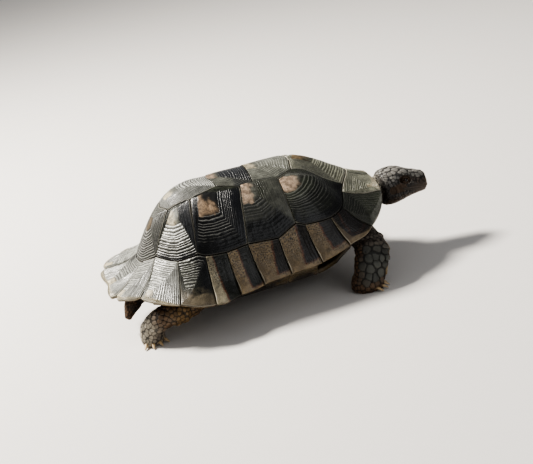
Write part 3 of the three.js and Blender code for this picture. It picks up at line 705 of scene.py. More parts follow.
rearLook = {
    "rings": 14, "nestShare": 0.18, "ridge": 0.9, "crest": 1, "groove": 1.6, "jitter": 0.24, "jitterSize": 7,
    "seam": hornSilver * 0.8, "rear": hornSilver * 0.75, "rim": hornCream * 0.8, "front": hornSilver * 0.6,
    "nest": (hornCream * 0.85, hornCream * 0.8, (1, 0), 0), "pale": {"rear": 0.7, "rim": 0.6, "front": 0.3},
}
marginLooks = {
    1: {"rings": 15, "nestShare": 0.14, "ridge": 0.6, "jitter": 0.15, "crest": 1.5, "groove": 0.9,
        "seam": hornMoss * 1.1, "rear": hornMoss * 1.3, "rim": hornCream * 0.75, "front": hornMoss * 1.2,
        "nest": (hornCream, hornCream * 0.85, (1, 0), 0), "pale": {"seam": 0.9, "rim": 1, "rear": 1}},
    2: {"rings": 11, "nestShare": 0.16, "ridge": 0.35, "crest": 0.3, "groove": 0.6, "seam": hornGreen * 0.4,
        "rear": hornGreen * 0.6, "rim": hornGrey * 0.6, "front": hornGreen * 0.7, "pale": {"rim": 0.6}},
    3: {"rings": 9, "nestShare": 0.2, "ridge": 0.3, "crest": 0.15, "groove": 0.4, "seam": hornSoot * 1.2,
        "rear": hornDrab * 0.35, "rim": hornDrab * 0.5, "front": hornSoot, "pale": {"rim": 0.4, "rear": 0.8},
        "patches": [{"along": (-1, 0.68), "down": (-1, 0.8), "slant": -0.3, "tint": hornRust * 0.5},
                    {"along": (-1, 0.62), "down": (-1, 0.78), "slant": -0.3, "tint": hornSoot}]},
    4: bandLook(0.5, 0.5, 0.8),
    5: bandLook(0.3, 0.52, 0.86),
    6: bandLook(0.22, 0.46, 0.86),
    7: bandLook(0.5, 0.52, 0.93, hornDrab * 0.72, hornGreen * 0.2),
    8: bandLook(0.68, 0.52, 1.3, hornCream * 0.42, hornGreen * 0.25),
    9: {"rings": 12, "nestShare": 0.18, "ridge": {"seam": 0.9, "rear": 0.6},
        "crest": {"seam": 1, "rear": 0.5, "rim": 0.1},
        "groove": {"seam": 1.4, "rear": 0.8, "rim": 0.2, "front": 0.3}, "jitter": 0.3, "seam": hornGrey * 0.6,
        "rear": hornGrey * 0.6, "rim": hornTan * 0.6, "front": hornGreen * 0.3, "pale": {"rear": 0.6, "rim": 0.4},
        "patches": [{"along": (-1, 0.42), "down": (-1, 0.72), "tint": hornBlack * 1.4, "soft": 0.14},
                    {"down": (0.72, 2), "tint": (hornDrab + hornGrey) * 0.27, "soft": 0.12}]},
    10: {**rearLook, "rings": 15, "front": hornSilver * 0.55, "rear": hornSilver * 0.85, "seam": hornSilver,
         "cuts": [(1, 0.03, 0.06)]},
    11: {**rearLook, "cuts": [(0, 0.05, 0.1), (0.5, 0.02, 0.3), (1, 0.09, 0.15)]},
}
tailLook = {
    **rearLook, "rings": 13, "marks": 0.3,
    "seam": hornSilver * 0.6, "front": hornSilver * 0.7, "rear": hornSilver * 0.7,
    "cuts": [(0, 0.07, 0.05), (0.5, 0.09, 0.25), (1, 0.07, 0.05)],
    "patches": [{"along": (0.04, 0.36), "down": (-1, 0.22), "tint": hornBlack, "soft": 0.1, "strength": 0.85}],
}


def hornMaterial(name="growthRingHorn"):
    p = Paint(name)
    names = ("ring", "around", "crest", "groove", "marks", "nest", "edge", "pale")
    ring, around, crest, groove, marks, nest, edge, pale = (p.attribute(n) for n in names)
    horn = p.attribute("horn", colour=True)
    fine = p.noise(1100, 4)
    broad = p.noise(140, 3)
    dashes = p.noise(1, 3, place=p.vector(ring * 1.9, around * 0.32, nest))  # drawn out along the rings
    across = p.noise(1, 3, place=p.vector(ring * 0.3, around * 1.5, nest + 5))  # drawn out across them
    combed = p.blend(nest, across, 0.5)
    ticks = p.noise(1, 3, place=p.vector(ring * 2.6, around * 0.42, nest + 9))
    turn = p.maths("FRACT", ring + (fine - 0.5) * 0.16)
    line = p.step(turn, 0.3, 0.45) * (1 - p.step(turn, 0.55, 0.72))
    dip = 1 - p.step(turn, 0.0, 0.2) * (1 - p.step(turn, 0.84, 1.0))
    mottled = p.mix(p.step(broad, 0.3, 0.75), p.tinted(horn, 0.72), p.tinted(horn, 1.3))
    combedHorn = p.mix(p.step(combed, 0.5, 0.7) * 0.5, mottled, p.tinted(mottled, 0.5))
    # The rings' crests are drawn paler: partly the horn's own pale rings, partly painted highlight along the ridge
    # tops.
    crestPaleAndHighlight = p.mix(0.55, p.tinted(mottled, 2.6), (0.4, 0.4, 0.375))
    lined = p.mix(line * crest * (0.25 + dashes * 0.75), combedHorn, crestPaleAndHighlight)
    # Painted shade: the grooves between the growth rings are darkened nearly to black.
    grooveShaded = p.mix(dip * groove * (0.55 + combed * 0.7), lined, (0.008, 0.008, 0.008))
    hair = 1 - p.step(p.maths("PINGPONG", ring * 4 + dashes * 0.7, 0.5), 0.04, 0.24)
    grooveShaded = p.mix(hair * p.step(groove, 0, 1) * 0.4, grooveShaded, p.tinted(grooveShaded, 0.4))
    marked = p.mix(p.step(ticks, 0.5, 0.58) * marks * p.step(broad, 0.25, 0.45), grooveShaded, p.tinted(horn, 0.12))
    rimmed = p.mix((1 - p.step(edge, 0.8, 1.5)) * p.step(edge, 0.3, 0.6) * pale, marked, (0.4, 0.375, 0.31))
    dark = p.mix(1 - p.step(edge, 0.08, 0.42), rimmed, (0.006, 0.005, 0.004))
    scratch = p.step(p.noise(2800, 2), 0.5, 0.66)
    dusty = p.mix(scratch * 0.2, dark, p.tinted(dark, 2.4))
    cloudy = p.mix(nest * p.step(p.noise(230, 4, 0.65), 0.42, 0.62) * 0.75, dusty, p.tinted(dusty, 0.36))
    pitted = p.mix(nest * p.step(p.noise(900, 3), 0.45, 0.62) * 0.5, cloudy, p.tinted(cloudy, 0.5))
    rough = 0.2 + fine * 0.16 + nest * 0.2 + dip * groove * 0.15
    height = line * p.step(crest, 0, 0.4) * 0.45 + fine * 0.3 + combed * 0.25 + scratch * 0.05
    return p.set(Base_Color=pitted, Roughness=rough, Normal=p.bump(height, 0.6, 0.0006),
                 Coat_Weight=0.15, Coat_Roughness=0.12, Specular_IOR_Level=0.4)


# Where each plate started to grow: in millimetres on the dome, in shares of the plate along the edge.
vertebralHearts = [70, 17, -23, -62, -90]
costalHearts = [(45, 32), (3, 31), (-39, 30), (-70, 26)]
marginHeart = (0.72, 0.74)
rearHeart = (0.8, 0.82)


def neverSquare(plan):
    return np.zeros(plan.shape[:-1])


def squareBelowSeam(plan):
    return smooth(plan[..., 1], 0, 0.5)


# square says where a plate's inner face lies straight below it, and not towards the spine.
domeKind = {"surface": domePoint, "steps": (0.5, 0.5), "swell": 1, "square": neverSquare, "thickness": 3}
edgeKind = {"surface": marginPoint, "steps": (0.02, 0.02), "swell": 0.7, "square": squareBelowSeam, "thickness": 3}
leftEdgeKind = {**edgeKind, "surface": leftMarginPoint}


def makeShell():
    horn = hornMaterial()
    for index, look in enumerate(vertebralLooks):
        made = makePlate(f"vertebralHorn_{index + 1}", domeKind, vertebralRuns(index), (vertebralHearts[index], 0),
                         look, horn, 1, [f"scute_vertebral_{index + 1}"], index)
    for side, sign in sides:
        for index, look in enumerate(costalLooks):
            made = makePlate(f"costalHorn_{side}_{index + 1}", domeKind, costalRuns(index), costalHearts[index],
                             look, horn, sign, [f"scute_costal_{side}_{index + 1}"], 10 + index)
        for station in range(1, lastStation - 1):
            heart = np.array([station, 0]) + (rearHeart if station > 9 else marginHeart)
            look = marginLooks[station]
            runs = marginRuns(station, station + 1, look.get("cuts", ()))
            made = makePlate(f"marginHorn_{side}_{station}", leftEdgeKind if sign > 0 else edgeKind, runs, heart,
                             look, horn, sign, [f"scute_marginal_{side}_{station}"], 20 + station)
    ends = (("nuchal", 0, (0, 0.6), {**marginLooks[1], "rings": 6}),
            ("supracaudal", lastStation, (lastStation, 0.78), tailLook))
    for name, station, heart, look in ends:
        runs = marginRuns(station - 1, station + 1, look.get("cuts", ()))
        made = makePlate(f"{name}Horn", leftEdgeKind, runs, heart, look, horn, 1, [f"scute_{name}"], 40)
    print("shell plates made")


makeShell()


# The flesh: one skin over trunk, neck, head, legs and tail, drawn in by the depth of its scales.

fleshMake = {"coat": 0.9, "headCoat": 0.5, "voxel": 1.6, "smoothing": 5, "standing": 0.2,
             "around": 48, "limbRows": 60, "footRows": 14,
             "limbReach": 1.45}  # in half widths, how far from its axis a limb has its own look
neckHead = {
    "sections": [  # x, half width, top, bottom
        (92, 20, 88, 46), (112, 18.5, 86, 48), (124, 16.5, 84.5, 51), (134, 15, 84, 53), (140, 15.3, 87, 53.5),
        (146, 15.5, 88.6, 53.5), (150, 17.2, 90, 52.5), (158, 18.4, 91, 52), (166, 18, 90.5, 53),
        (173, 16, 88, 54.5), (180, 13.8, 84.5, 55.5), (187, 11.6, 81.5, 56), (193, 10.2, 79, 56.5)],
    "tipStart": 193, "tip": 198.4, "back": 100, "columns": 208, "rows": 148, "tipRows": 20,
    "samples": (600, 1200),  # from which the rows and the columns are spaced
    "folds": (103, 109.5, 115, 121, 126.5, 132.5, 137.5, 142.5), "foldDepth": 0.9,
    "nostril": (198, 2.6, 71.6), "drum": (155.8, 70.5),
    "mouth": [(163, 70.2), (169.6, 68.7), (175.6, 67.1), (185.9, 64.4), (193, 62.8), (200, 62.4)],
}
eyeMake = {"centre": (171.5, 11.7, 76.4), "radius": 4.5, "lookAhead": 0.28, "lookUp": 0.2, "long": 3.6,
           "highTop": 2.5, "highBottom": 1.9, "tilt": -12, "lid": 0.45, "rows": 38, "around": 48}
legMake = {  # stations: x, y, z, half width, half depth
    "fore_r": {"stations": [(76, -32, 58, 13, 13), (104, -48, 46, 16, 10), (107, -66, 36, 18, 10),
                            (101, -75, 24, 18, 11), (94, -78, 8, 16, 11)],
               "at": (93, -78), "height": 22, "long": 17, "wide": 12.5, "heading": -14, "claws": 5, "fan": 120},
    "fore_l": {"stations": [(76, 32, 58, 13, 13), (104, 48, 46, 16, 10), (112, 66, 36, 17, 10),
                            (113, 75, 22, 16, 11), (111, 78, 8, 15, 12)],
               "at": (111, 78), "height": 22, "long": 16, "wide": 13, "heading": 15, "claws": 5, "fan": 120},
    "hind_r": {"stations": [(-52, -32, 56, 16, 16), (-70, -54, 40, 16, 13), (-92, -65, 31, 13, 13),
                            (-110, -62, 28, 12, 12), (-123, -54, 18, 12, 12)],
               "at": (-125, -52), "height": 26, "long": 12, "wide": 12.5, "heading": -84, "claws": 4, "fan": 110},
    "hind_l": {"stations": [(-52, 32, 56, 16, 16), (-62, 52, 42, 17, 13), (-62, 66, 32, 16, 13),
                            (-66, 70, 18, 15, 13), (-68, 70, 8, 14, 13)],
               "at": (-68, 70), "height": 22, "long": 15, "wide": 14, "heading": 20, "claws": 4, "fan": 90},
}
footProfile = [(0, 0.88), (0.15, 1), (0.55, 0.96), (0.85, 0.76), (1, 0.4)]
tailStations = [(-88, 0, 50, 13, 13), (-114, -3, 42, 12, 12), (-132, -8, 29, 9, 9), (-142, -16, 17, 4.5, 4.5)]


def throughStations(columns, at):
    # A smooth curve through rows of numbers, read at the places given.
    columns = np.asarray(columns, float)
    place = columns[:, 0]
    slope = np.gradient(columns[:, 1:], place, axis=0)
    k = np.clip(np.searchsorted(place, at) - 1, 0, len(place) - 2)
    width = (place[k + 1] - place[k])[:, None]
    f = ((at - place[k]) / (place[k + 1] - place[k]))[:, None]
    return hermite(columns[k, 1:], columns[k + 1, 1:], width * slope[k], width * slope[k + 1], f)


def limbAxis(stations, count):
    # Centre, direction, wide and deep ways and half sizes along a limb.
    stations = np.asarray(stations, float)
    ends = np.concatenate([2 * stations[:1] - stations[1:2], stations, 2 * stations[-1:] - stations[-2:-1]])[:, :3]
    t = np.linspace(0, len(stations) - 1, count)
    k = np.minimum(t.astype(int), len(stations) - 2)
    f = (t - k)[:, None]
    p = [ends[k + i] for i in range(4)]
    m, n = (p[2] - p[0]) / 2, (p[3] - p[1]) / 2
    centre = hermite(p[1], p[2], m, n, f)
    along = unit((6 * f**2 - 6 * f) * (p[1] - p[2]) + (3 * f**2 - 4 * f + 1) * m + (3 * f**2 - 2 * f) * n)
    flat = np.where(np.abs(along[:, :1]) > 0.85, (0, 0, 1), (1, 0, 0))
    wide = unit(flat - along * (flat * along).sum(1, keepdims=True))
    sizes = lerp(stations[k, 3:], stations[k + 1, 3:], smooth(f, 0, 1))
    return centre, along, wide, np.cross(along, wide), sizes


def closedRings(rings):
    rows, count = rings.shape[:2]
    points = np.concatenate([rings.reshape(-1, 3), rings[0].mean(0)[None], rings[-1].mean(0)[None]])
    faces = [ringFaces(rows, count), fanFaces(rows * count, 0, count, True),
             fanFaces(rows * count + 1, (rows - 1) * count, count, False)]
    triangles = np.concatenate([f if f.shape[1] == 3 else np.concatenate([f[:, :3], f[:, [0, 2, 3]]]) for f in faces])
    return points, triangles if enclosed(points, [triangles]) > 0 else triangles[:, ::-1]


def limbTube(stations, coat):
    centre, _, wide, deep, sizes = limbAxis(stations, fleshMake["limbRows"])
    turn = circle(fleshMake["around"])
    ring = (wide[:, None] * (np.cos(turn)[None, :, None] * (sizes[:, None, :1] - coat))
            + deep[:, None] * (np.sin(turn)[None, :, None] * (sizes[:, None, 1:] - coat)))
    return closedRings(centre[:, None] + ring)


def turned(points, degrees):
    c, s = math.cos(math.radians(degrees)), math.sin(math.radians(degrees))
    x, y, z = np.moveaxis(np.asarray(points, float), -1, 0)
    return np.stack([c * x - s * y, s * x + c * y, z], -1)


def footShape(leg, coat):
    up = np.linspace(0, 1, fleshMake["footRows"])
    size = throughStations(footProfile, up)[:, 0]
    turn = circle(fleshMake["around"])
    ring = np.stack([np.outer(leg["long"] * size - coat, np.cos(turn)),
                     np.outer(leg["wide"] * size - coat, np.sin(turn)),
                     np.outer(up * (leg["height"] - coat), np.ones(len(turn)))], -1)
    return closedRings(turned(ring, leg["heading"]) + (*leg["at"], 0))


def clawRoots(leg):
    # Where each claw starts on the floor plan, and the way that it points.
    off = (np.arange(leg["claws"]) / (leg["claws"] - 1) - 0.5) * leg["fan"]
    reach = np.stack([(leg["long"] - 3) * np.cos(np.radians(off)), (leg["wide"] - 3) * np.sin(np.radians(off)) * 1.1,
                      0 * off], -1)
    return turned(reach, leg["heading"]) + (*leg["at"], 0), leg["heading"] + off * 0.55


def toeShapes(leg):
    shapes = []
    for root, heading in zip(*clawRoots(leg)):
        ahead = np.array([math.cos(math.radians(heading)), math.sin(math.radians(heading)), 0])
        line = [(*(root - ahead * 7 + (0, 0, 7)), 3.6, 3.4), (*(root - ahead * 2.5 + (0, 0, 6)), 3.9, 3.6),
                (*(root + ahead * 0.8 + (0, 0, 4.4)), 3.4, 3)]
        shapes.append(limbTube(line, 0.2))
    return shapes


def joined(shapes):
    # Several closed shapes as one list of points and one of triangles.
    starts = np.cumsum([0] + [len(points) for points, _ in shapes])
    return (np.concatenate([points for points, _ in shapes]),
            np.concatenate([triangles + start for (_, triangles), start in zip(shapes, starts)]))


def workObject(shapes):
    # A passing object in millimetres, for a modifier to work on.
    points, triangles = joined(shapes)
    mesh = bpy.data.meshes.new("work")
    mesh.from_pydata(points.tolist(), [], triangles.tolist())
    made = bpy.data.objects.new("work", mesh)
    bpy.context.scene.collection.objects.link(made)
    return made


def meshArrays(mesh):
    mesh.calc_loop_triangles()
    points = np.empty(len(mesh.vertices) * 3)
    mesh.vertices.foreach_get("co", points)
    triangles = np.empty(len(mesh.loop_triangles) * 3, np.int64)
    mesh.loop_triangles.foreach_get("vertices", triangles)
    return points.reshape(-1, 3), triangles.reshape(-1, 3)


def worked(made, kind, **settings):
    modifier = made.modifiers.new(kind, kind)
    for key, value in settings.items():
        setattr(modifier, key, value)
    result = made.evaluated_get(bpy.context.evaluated_depsgraph_get()).to_mesh()
    arrays = meshArrays(result)
    made.to_mesh_clear()
    for name in [made, settings.get("object")]:
        if name:
            bpy.data.objects.remove(name)
    return arrays


def vertexNormals(points, triangles):
    a, b, c = (points[triangles[:, i]] for i in range(3))
    face = np.cross(b - a, c - a)
    total = np.zeros_like(points)
    for i in range(3):
        np.add.at(total, triangles[:, i], face)
    return unit(total)


def eyeFrame(sign):
    outward = unit(np.array([eyeMake["lookAhead"], sign, eyeMake["lookUp"]]))
    tilt = math.radians(eyeMake["tilt"])
    ahead = unit(np.array([1, 0, 0]) - outward * outward[0])
    high = unit(np.array([0, 0, 1]) - outward * outward[2] - ahead * ahead[2])
    return (np.array(eyeMake["centre"]) * (1, sign, 1), outward,
            ahead * math.cos(tilt) + high * math.sin(tilt), high * math.cos(tilt) - ahead * math.sin(tilt))


def eyePlace(points, sign):
    # How far out of the eye's opening each point is (1 on its edge), and its height over the eye's middle.
    centre, outward, ahead, high = eyeFrame(sign)
    local = points - centre
    u, v, w = local @ ahead, local @ high, local @ outward
    tall = np.where(v > 0, eyeMake["highTop"], eyeMake["highBottom"])
    around = (np.abs(u / eyeMake["long"]) ** 1.7 + np.abs(v / tall) ** 1.7) ** (1 / 1.7)
    return around, u, v, w, outward


def mouthHeight(points):
    x = points[..., 0]
    line = np.array(neckHead["mouth"])
    return points[..., 2] - np.interp(x, line[:, 0], line[:, 1])


def beakAt(points):
    # 1 on the horny edges of the jaws, 0 on the scaly skin.
    x = points[..., 0]
    over = mouthHeight(points)
    upper = 1.7 + 3.2 * smooth(x, 168, 191) + 2.2 * smooth(x, 194, 198)
    lower = 1.5 + 3.4 * smooth(x, 168, 192)
    return (smooth(x + 0.5 * np.abs(over), 166, 168) * (1 - smooth(over - upper, -0.3, 0.3))
            * smooth(over + lower, -0.3, 0.3))


def nostrilAt(points):
    x, side, z = neckHead["nostril"]
    return np.hypot(points[..., 0] - x, np.hypot(points[..., 2] - z, np.abs(points[..., 1]) - side))


def drumAt(points):
    # The ear drum is a little taller than long.
    x, z = neckHead["drum"]
    return np.hypot(points[..., 0] - x, (points[..., 2] - z) * 0.9)


def headShape():
    make = neckHead
    x = np.linspace(make["back"], make["tipStart"], make["samples"][0])
    weight = 0.45 + 0.75 * smooth(x, 138, 148) + 1.1 * gaussian(x - 171.5, 7)
    total = np.concatenate([[0], np.cumsum(weight[1:] * np.diff(x))])
    rows = np.interp(np.linspace(0, total[-1], make["rows"]), total, x)
    quarter = np.linspace(0, math.pi / 2, make["tipRows"] + 2)[1:-1]
    tip = make["tipStart"] + (make["tip"] - make["tipStart"]) * np.sin(quarter)
    x = np.concatenate([rows, tip])
    half, top, bottom = throughStations(make["sections"], np.minimum(x, make["tipStart"])).T
    u = np.clip((x - make["tipStart"]) / (make["tip"] - make["tipStart"]), 0, 1)
    shrink = (1 - u**2.4) ** (1 / 2.4)
    middle = (top + bottom) / 2
    half = np.maximum(half * shrink - fleshMake["headCoat"], 0.2)
    high = np.maximum((top - middle) * shrink - fleshMake["headCoat"], 0.2)
    turn = np.linspace(0, 2 * np.pi, make["samples"][1])
    weight = 1 + 1.3 * sum(gaussian(np.angle(np.exp(1j * (turn - at))), 0.35) for at in (0.25, np.pi - 0.25))
    total = np.concatenate([[0], np.cumsum(weight[1:])])
    turn = np.interp(np.linspace(0, total[-1], make["columns"], endpoint=False), total, turn)
    c, s = np.cos(turn), np.sin(turn)
    wide = np.outer(half, np.sign(c) * np.abs(c) ** 0.88) * (1 - 0.1 * s)
    tall = middle[:, None] + np.outer(high, np.sign(s) * np.abs(s) ** 0.88)
    rings = np.stack([np.broadcast_to(x[:, None], wide.shape), wide, tall], -1)
    points, triangles = closedRings(rings)
    normals = vertexNormals(points, triangles)
    return sculptedHead(points, normals), triangles


def sculptedHead(points, normals):
    x, y, z = points.T
    side = np.abs(y)
    rise = np.zeros(len(points))
    neck = 1 - smooth(x, 144, 147)
    drift = wobble(points * (0.4, 1, 1), 16, 11, 2) * 3.2
    for at in neckHead["folds"]:
        rise += neck * neckHead["foldDepth"] * (gaussian(x + drift - at, 1.9) - 0.5)
    rise += -1.3 * gaussian(x + 0.35 * drift - 146.2, 1.5)  # the furrow behind the head
    rise += neck * 0.4 * wobble(points * (1, 2.2, 2.2), 9, 12, 3)
    head = 1 - neck
    brow = gaussian(x - 171, 8) * gaussian(z - 83.5 + 0.25 * (x - 171), 2.6) * gaussian(side - 13, 4)
    rise += 0.9 * brow
    rise += -1.1 * gaussian(x - 181, 7) * gaussian(z - 74.5 + 0.3 * (x - 181), 3.5)  # hollow before the eye
    rise += 0.7 * gaussian(x - 159, 6) * gaussian(z - 63, 5)  # jaw muscle
    drum = drumAt(points)
    rise += head * np.where(side > 8, 0.3 * gaussian(drum - 4.6, 0.8) - 0.5 * (1 - smooth(drum, 3.0, 4.2)), 0)
    rise += -0.9 * gaussian(x - 163 + 0.25 * (z - 70), 1.8) * gaussian(z - 66, 8) * (side > 8)  # jaw hinge
    rise += -0.8 * gaussian(y, 1.6) * gaussian(x - 171, 22) * smooth(z, 80, 86)  # midline of the crown
    over = mouthHeight(points)
    lips = smooth(x, 162, 168)
    rise += 0.5 * beakAt(points)
    rise += lips * (0.35 * gaussian(over - 1.2, 1.2) - gaussian(over + 0.1, 0.4) - 0.45 * gaussian(over + 2, 1.6))
    rise += 0.4 * gaussian(x - 199, 3) * gaussian(over + 0.2, 1.6)  # hook of the beak
    rise += -1.7 * gaussian(nostrilAt(points), 0.85) + 0.3 * gaussian(nostrilAt(points) - 1.5, 0.5)
    rise += head * 0.1 * wobble(points, 3.2, 13, 3) * (1 - beakAt(points))
    rise += 0.05 * beakAt(points) * np.cos(2 * np.pi * (x + side * 1.5) / 1.3 + 2 * wobble(points, 6, 14, 2))
    points = points + normals * rise[:, None]
    for sign in (1, -1):
        around, u, v, w, outward = eyePlace(points, sign)
        ball = eyeMake["radius"] + eyeMake["lid"] + 0.25 * gaussian(around - 1.15, 0.14)
        lidDepth = np.sqrt(np.maximum(ball**2 - u**2 - v**2, 0.1))
        lidDepth -= 0.4 * gaussian(around - 1.72, 0.13)
        lidDepth -= 2.4 * (1 - smooth(around, 0.93, 1.02))
        mask = (1 - smooth(around, 1.55, 2.35)) * (w > 0)
        points = points + outward * ((lidDepth - w) * mask)[:, None]
    return points


def buildSkin():
    trunk = meshArrays(bpy.data.objects["trunk"].data)
    trunk = (trunk[0] * 1000 - middleShift, trunk[1])
    shapes = [trunk, limbTube(tailStations, fleshMake["coat"])]
    for leg in legMake.values():
        shapes += [limbTube(leg["stations"], fleshMake["coat"]), footShape(leg, fleshMake["coat"]), *toeShapes(leg)]
    voxels = worked(workObject(shapes), "REMESH", mode="VOXEL", voxel_size=fleshMake["voxel"])
    print("skin joined", len(voxels[1]))
    points, triangles = worked(workObject([voxels]), "SMOOTH", factor=0.5, iterations=fleshMake["smoothing"])
    points = foldedLimbs(points, vertexNormals(points, triangles))
    points[:, 2] = np.maximum(points[:, 2], fleshMake["standing"])
    head = workObject([headShape()])
    points, triangles = worked(workObject([(points, triangles)]), "BOOLEAN", operation="UNION", solver="MANIFOLD",
                               object=head)
    print("skin made", len(points), "points", len(triangles), "triangles")
    return points, triangles, vertexNormals(points, triangles)


limbs = {}
for limbName, leg in legMake.items():
    limbs[limbName] = limbAxis(leg["stations"] + [(*leg["at"], 0.0, leg["wide"], leg["wide"])], 120)
limbs["tail"] = limbAxis(tailStations, 60)
neckRow = np.linspace(neckHead["back"], 199, 100)
neckMiddle = throughStations(neckHead["sections"], np.minimum(neckRow, neckHead["tipStart"]))
limbs["head"] = (
    np.column_stack([neckRow, 0 * neckRow, neckMiddle[:, 1:].mean(1)]),
    *(np.tile(way, (len(neckRow), 1)) for way in np.eye(3)),
    np.column_stack([neckMiddle[:, 0], (neckMiddle[:, 1] - neckMiddle[:, 2]) / 2]))
limbNames = list(limbs)


def limbPlaces(points):
    # For each point: the limb that it lies on (or -1), how far along it, and the angle round it.
    best = np.full(len(points), fleshMake["limbReach"])
    which = np.full(len(points), -1)
    along = np.zeros(len(points))
    angle = np.zeros(len(points))
    lie = np.zeros_like(points)
    for index, name in enumerate(limbNames):
        centre, way, wide, deep, sizes = limbs[name]
        tree = treeOf(centre)
        low, high = centre.min(0) - 30, centre.max(0) + 30
        inside = np.nonzero(((points > low) & (points < high)).all(1))[0]
        nearest = np.array([tree.find(p)[1] for p in points[inside]], int)
        offset = points[inside] - centre[nearest]
        a, b = (offset * wide[nearest]).sum(1), (offset * deep[nearest]).sum(1)
        ratio = np.linalg.norm(offset, axis=1) / sizes[nearest].mean(1)
        take = ratio < best[inside]
        rows = inside[take]
        best[rows], which[rows] = ratio[take], index
        along[rows] = nearest[take] / (len(centre) - 1)
        angle[rows] = np.arctan2(b, a)[take]
        lie[rows] = way[nearest][take]
    return which, along, angle, lie


def foldedLimbs(points, normals):
    # Loose folds of skin near the roots of the limbs, and fine creases further down.
    which, along, _, _ = limbPlaces(points)
    rise = np.zeros(len(points))
    for index, name in enumerate(limbNames):
        if name == "head":
            continue
        on = which == index
        drift = wobble(points[on], 18, 21 + index, 2) * 0.05
        wave = np.cos(2 * np.pi * (along[on] + drift) * (10 if name != "tail" else 7))
        rise[on] = (1 - smooth(along[on], 0.45, 0.7)) * 0.75 * (wave - 0.3)
    rise += 0.3 * wobble(points, 5, 30, 2) * (which >= 0)
    return points + normals * rise[:, None]


# Colours of the flesh, shared by the skin and the scales that stand on it.

skinCharcoal = srgb(58, 54, 52)
skinGrey = srgb(112, 110, 106)
skinPale = srgb(150, 144, 132)
skinBrown = srgb(98, 76, 56)
skinOchre = srgb(132, 106, 68)
skinDark = srgb(44, 38, 34)
beakBrown = srgb(68, 56, 45)
scaleBlue = srgb(76, 77, 72)
scaleYellow = srgb(176, 150, 104)


def painted(colour, *layers):
    # Each layer is a colour, or one for each point, and how far it covers each point.
    for layer, cover in layers:
        colour = lerp(colour, layer, cover[:, None])
    return colour


def fleshLook(points, normals):
    # Size, colour, lie and free-edge lift of the scales wanted at each point, and its place round the limb.
    which, along, angle, lie = limbPlaces(points)
    size = np.zeros(len(points))
    lift = np.zeros(len(points))
    tint = np.tile(skinBrown * 0.8, (len(points), 1))
    z = points[:, 2]
    patch = wobble(points, 14, 41, 2)
    for index, name in enumerate(limbNames):
        on = which == index
        n, t, v = normals[on], along[on], patch[on]
        if name == "head":
            size[on], tint[on], lift[on] = headLook(points[on], n, v)
            lie[on] = (-1, 0, 0)
            continue
        if name == "tail":
            size[on] = 3.2 - 0.8 * t
            tint[on] = painted(skinBrown * 0.8, (skinDark * 1.5, smooth(v, -0.3, 0.5)))
            lift[on] = 0.5
            continue
        side = 1 if name.endswith("_l") else -1
        upper = 1 - smooth(t, 0.3, 0.48)
        low = smooth(14 - z[on], 0, 8)
        if name.startswith("fore"):
            heading = np.radians(legMake[name]["heading"] + side * 38)
            facing = n[:, 0] * np.cos(heading) + n[:, 1] * np.sin(heading)
            innerWay = heading - side * 0.95
            shield = smooth(facing, 0.05, 0.45) * (1 - upper) * (1 - 0.75 * low)
            size[on] = 2.7 + 4.9 * shield + 0.8 * low
            lift[on] = 0.2 + 0.8 * shield
            inner = smooth(n[:, 0] * np.cos(innerWay) + n[:, 1] * np.sin(innerWay), 0.72, 0.92)
            tint[on] = painted(skinBrown * 0.6, (scaleBlue * 0.75, shield),
                               (scaleYellow * 0.8, inner * shield * smooth(v, -0.9, -0.5)),
                               (skinGrey * 0.6, upper * 0.6), (skinBrown * 0.65, low))
        else:
            # The lower leg is pale, partly its own pale scales; its rear-facing side is painted paler still as
            # painted light.
            back = smooth(-n[:, 0], -0.1, 0.5)
            size[on] = 2.8 + 1.6 * (1 - upper) * (1 - low) + 0.5 * low
            lift[on] = 0.3
            knee = gaussian(t - 0.42, 0.1)
            tint[on] = painted(skinBrown * 0.6, (skinOchre * 0.5, knee),
                               (skinPale * 0.8, smooth(t, 0.6, 0.75) * (0.6 + 0.4 * back)),
                               (skinDark, 0.35 * smooth(v, 0.1, 0.7)))
    sole = smooth(-normals[:, 2], 0.75, 0.9) * smooth(2.5 - z, 0, 1)
    size[sole > 0.5] = 0
    root = np.where(which >= 0, along, 0)
    limit = np.where(which == limbNames.index("head"), 0.03, 0.14)
    size[(which < 0) | (root < limit)] = 0
    return {"which": which, "along": along, "angle": angle, "lie": lie, "size": size, "lift": lift, "tint": tint}


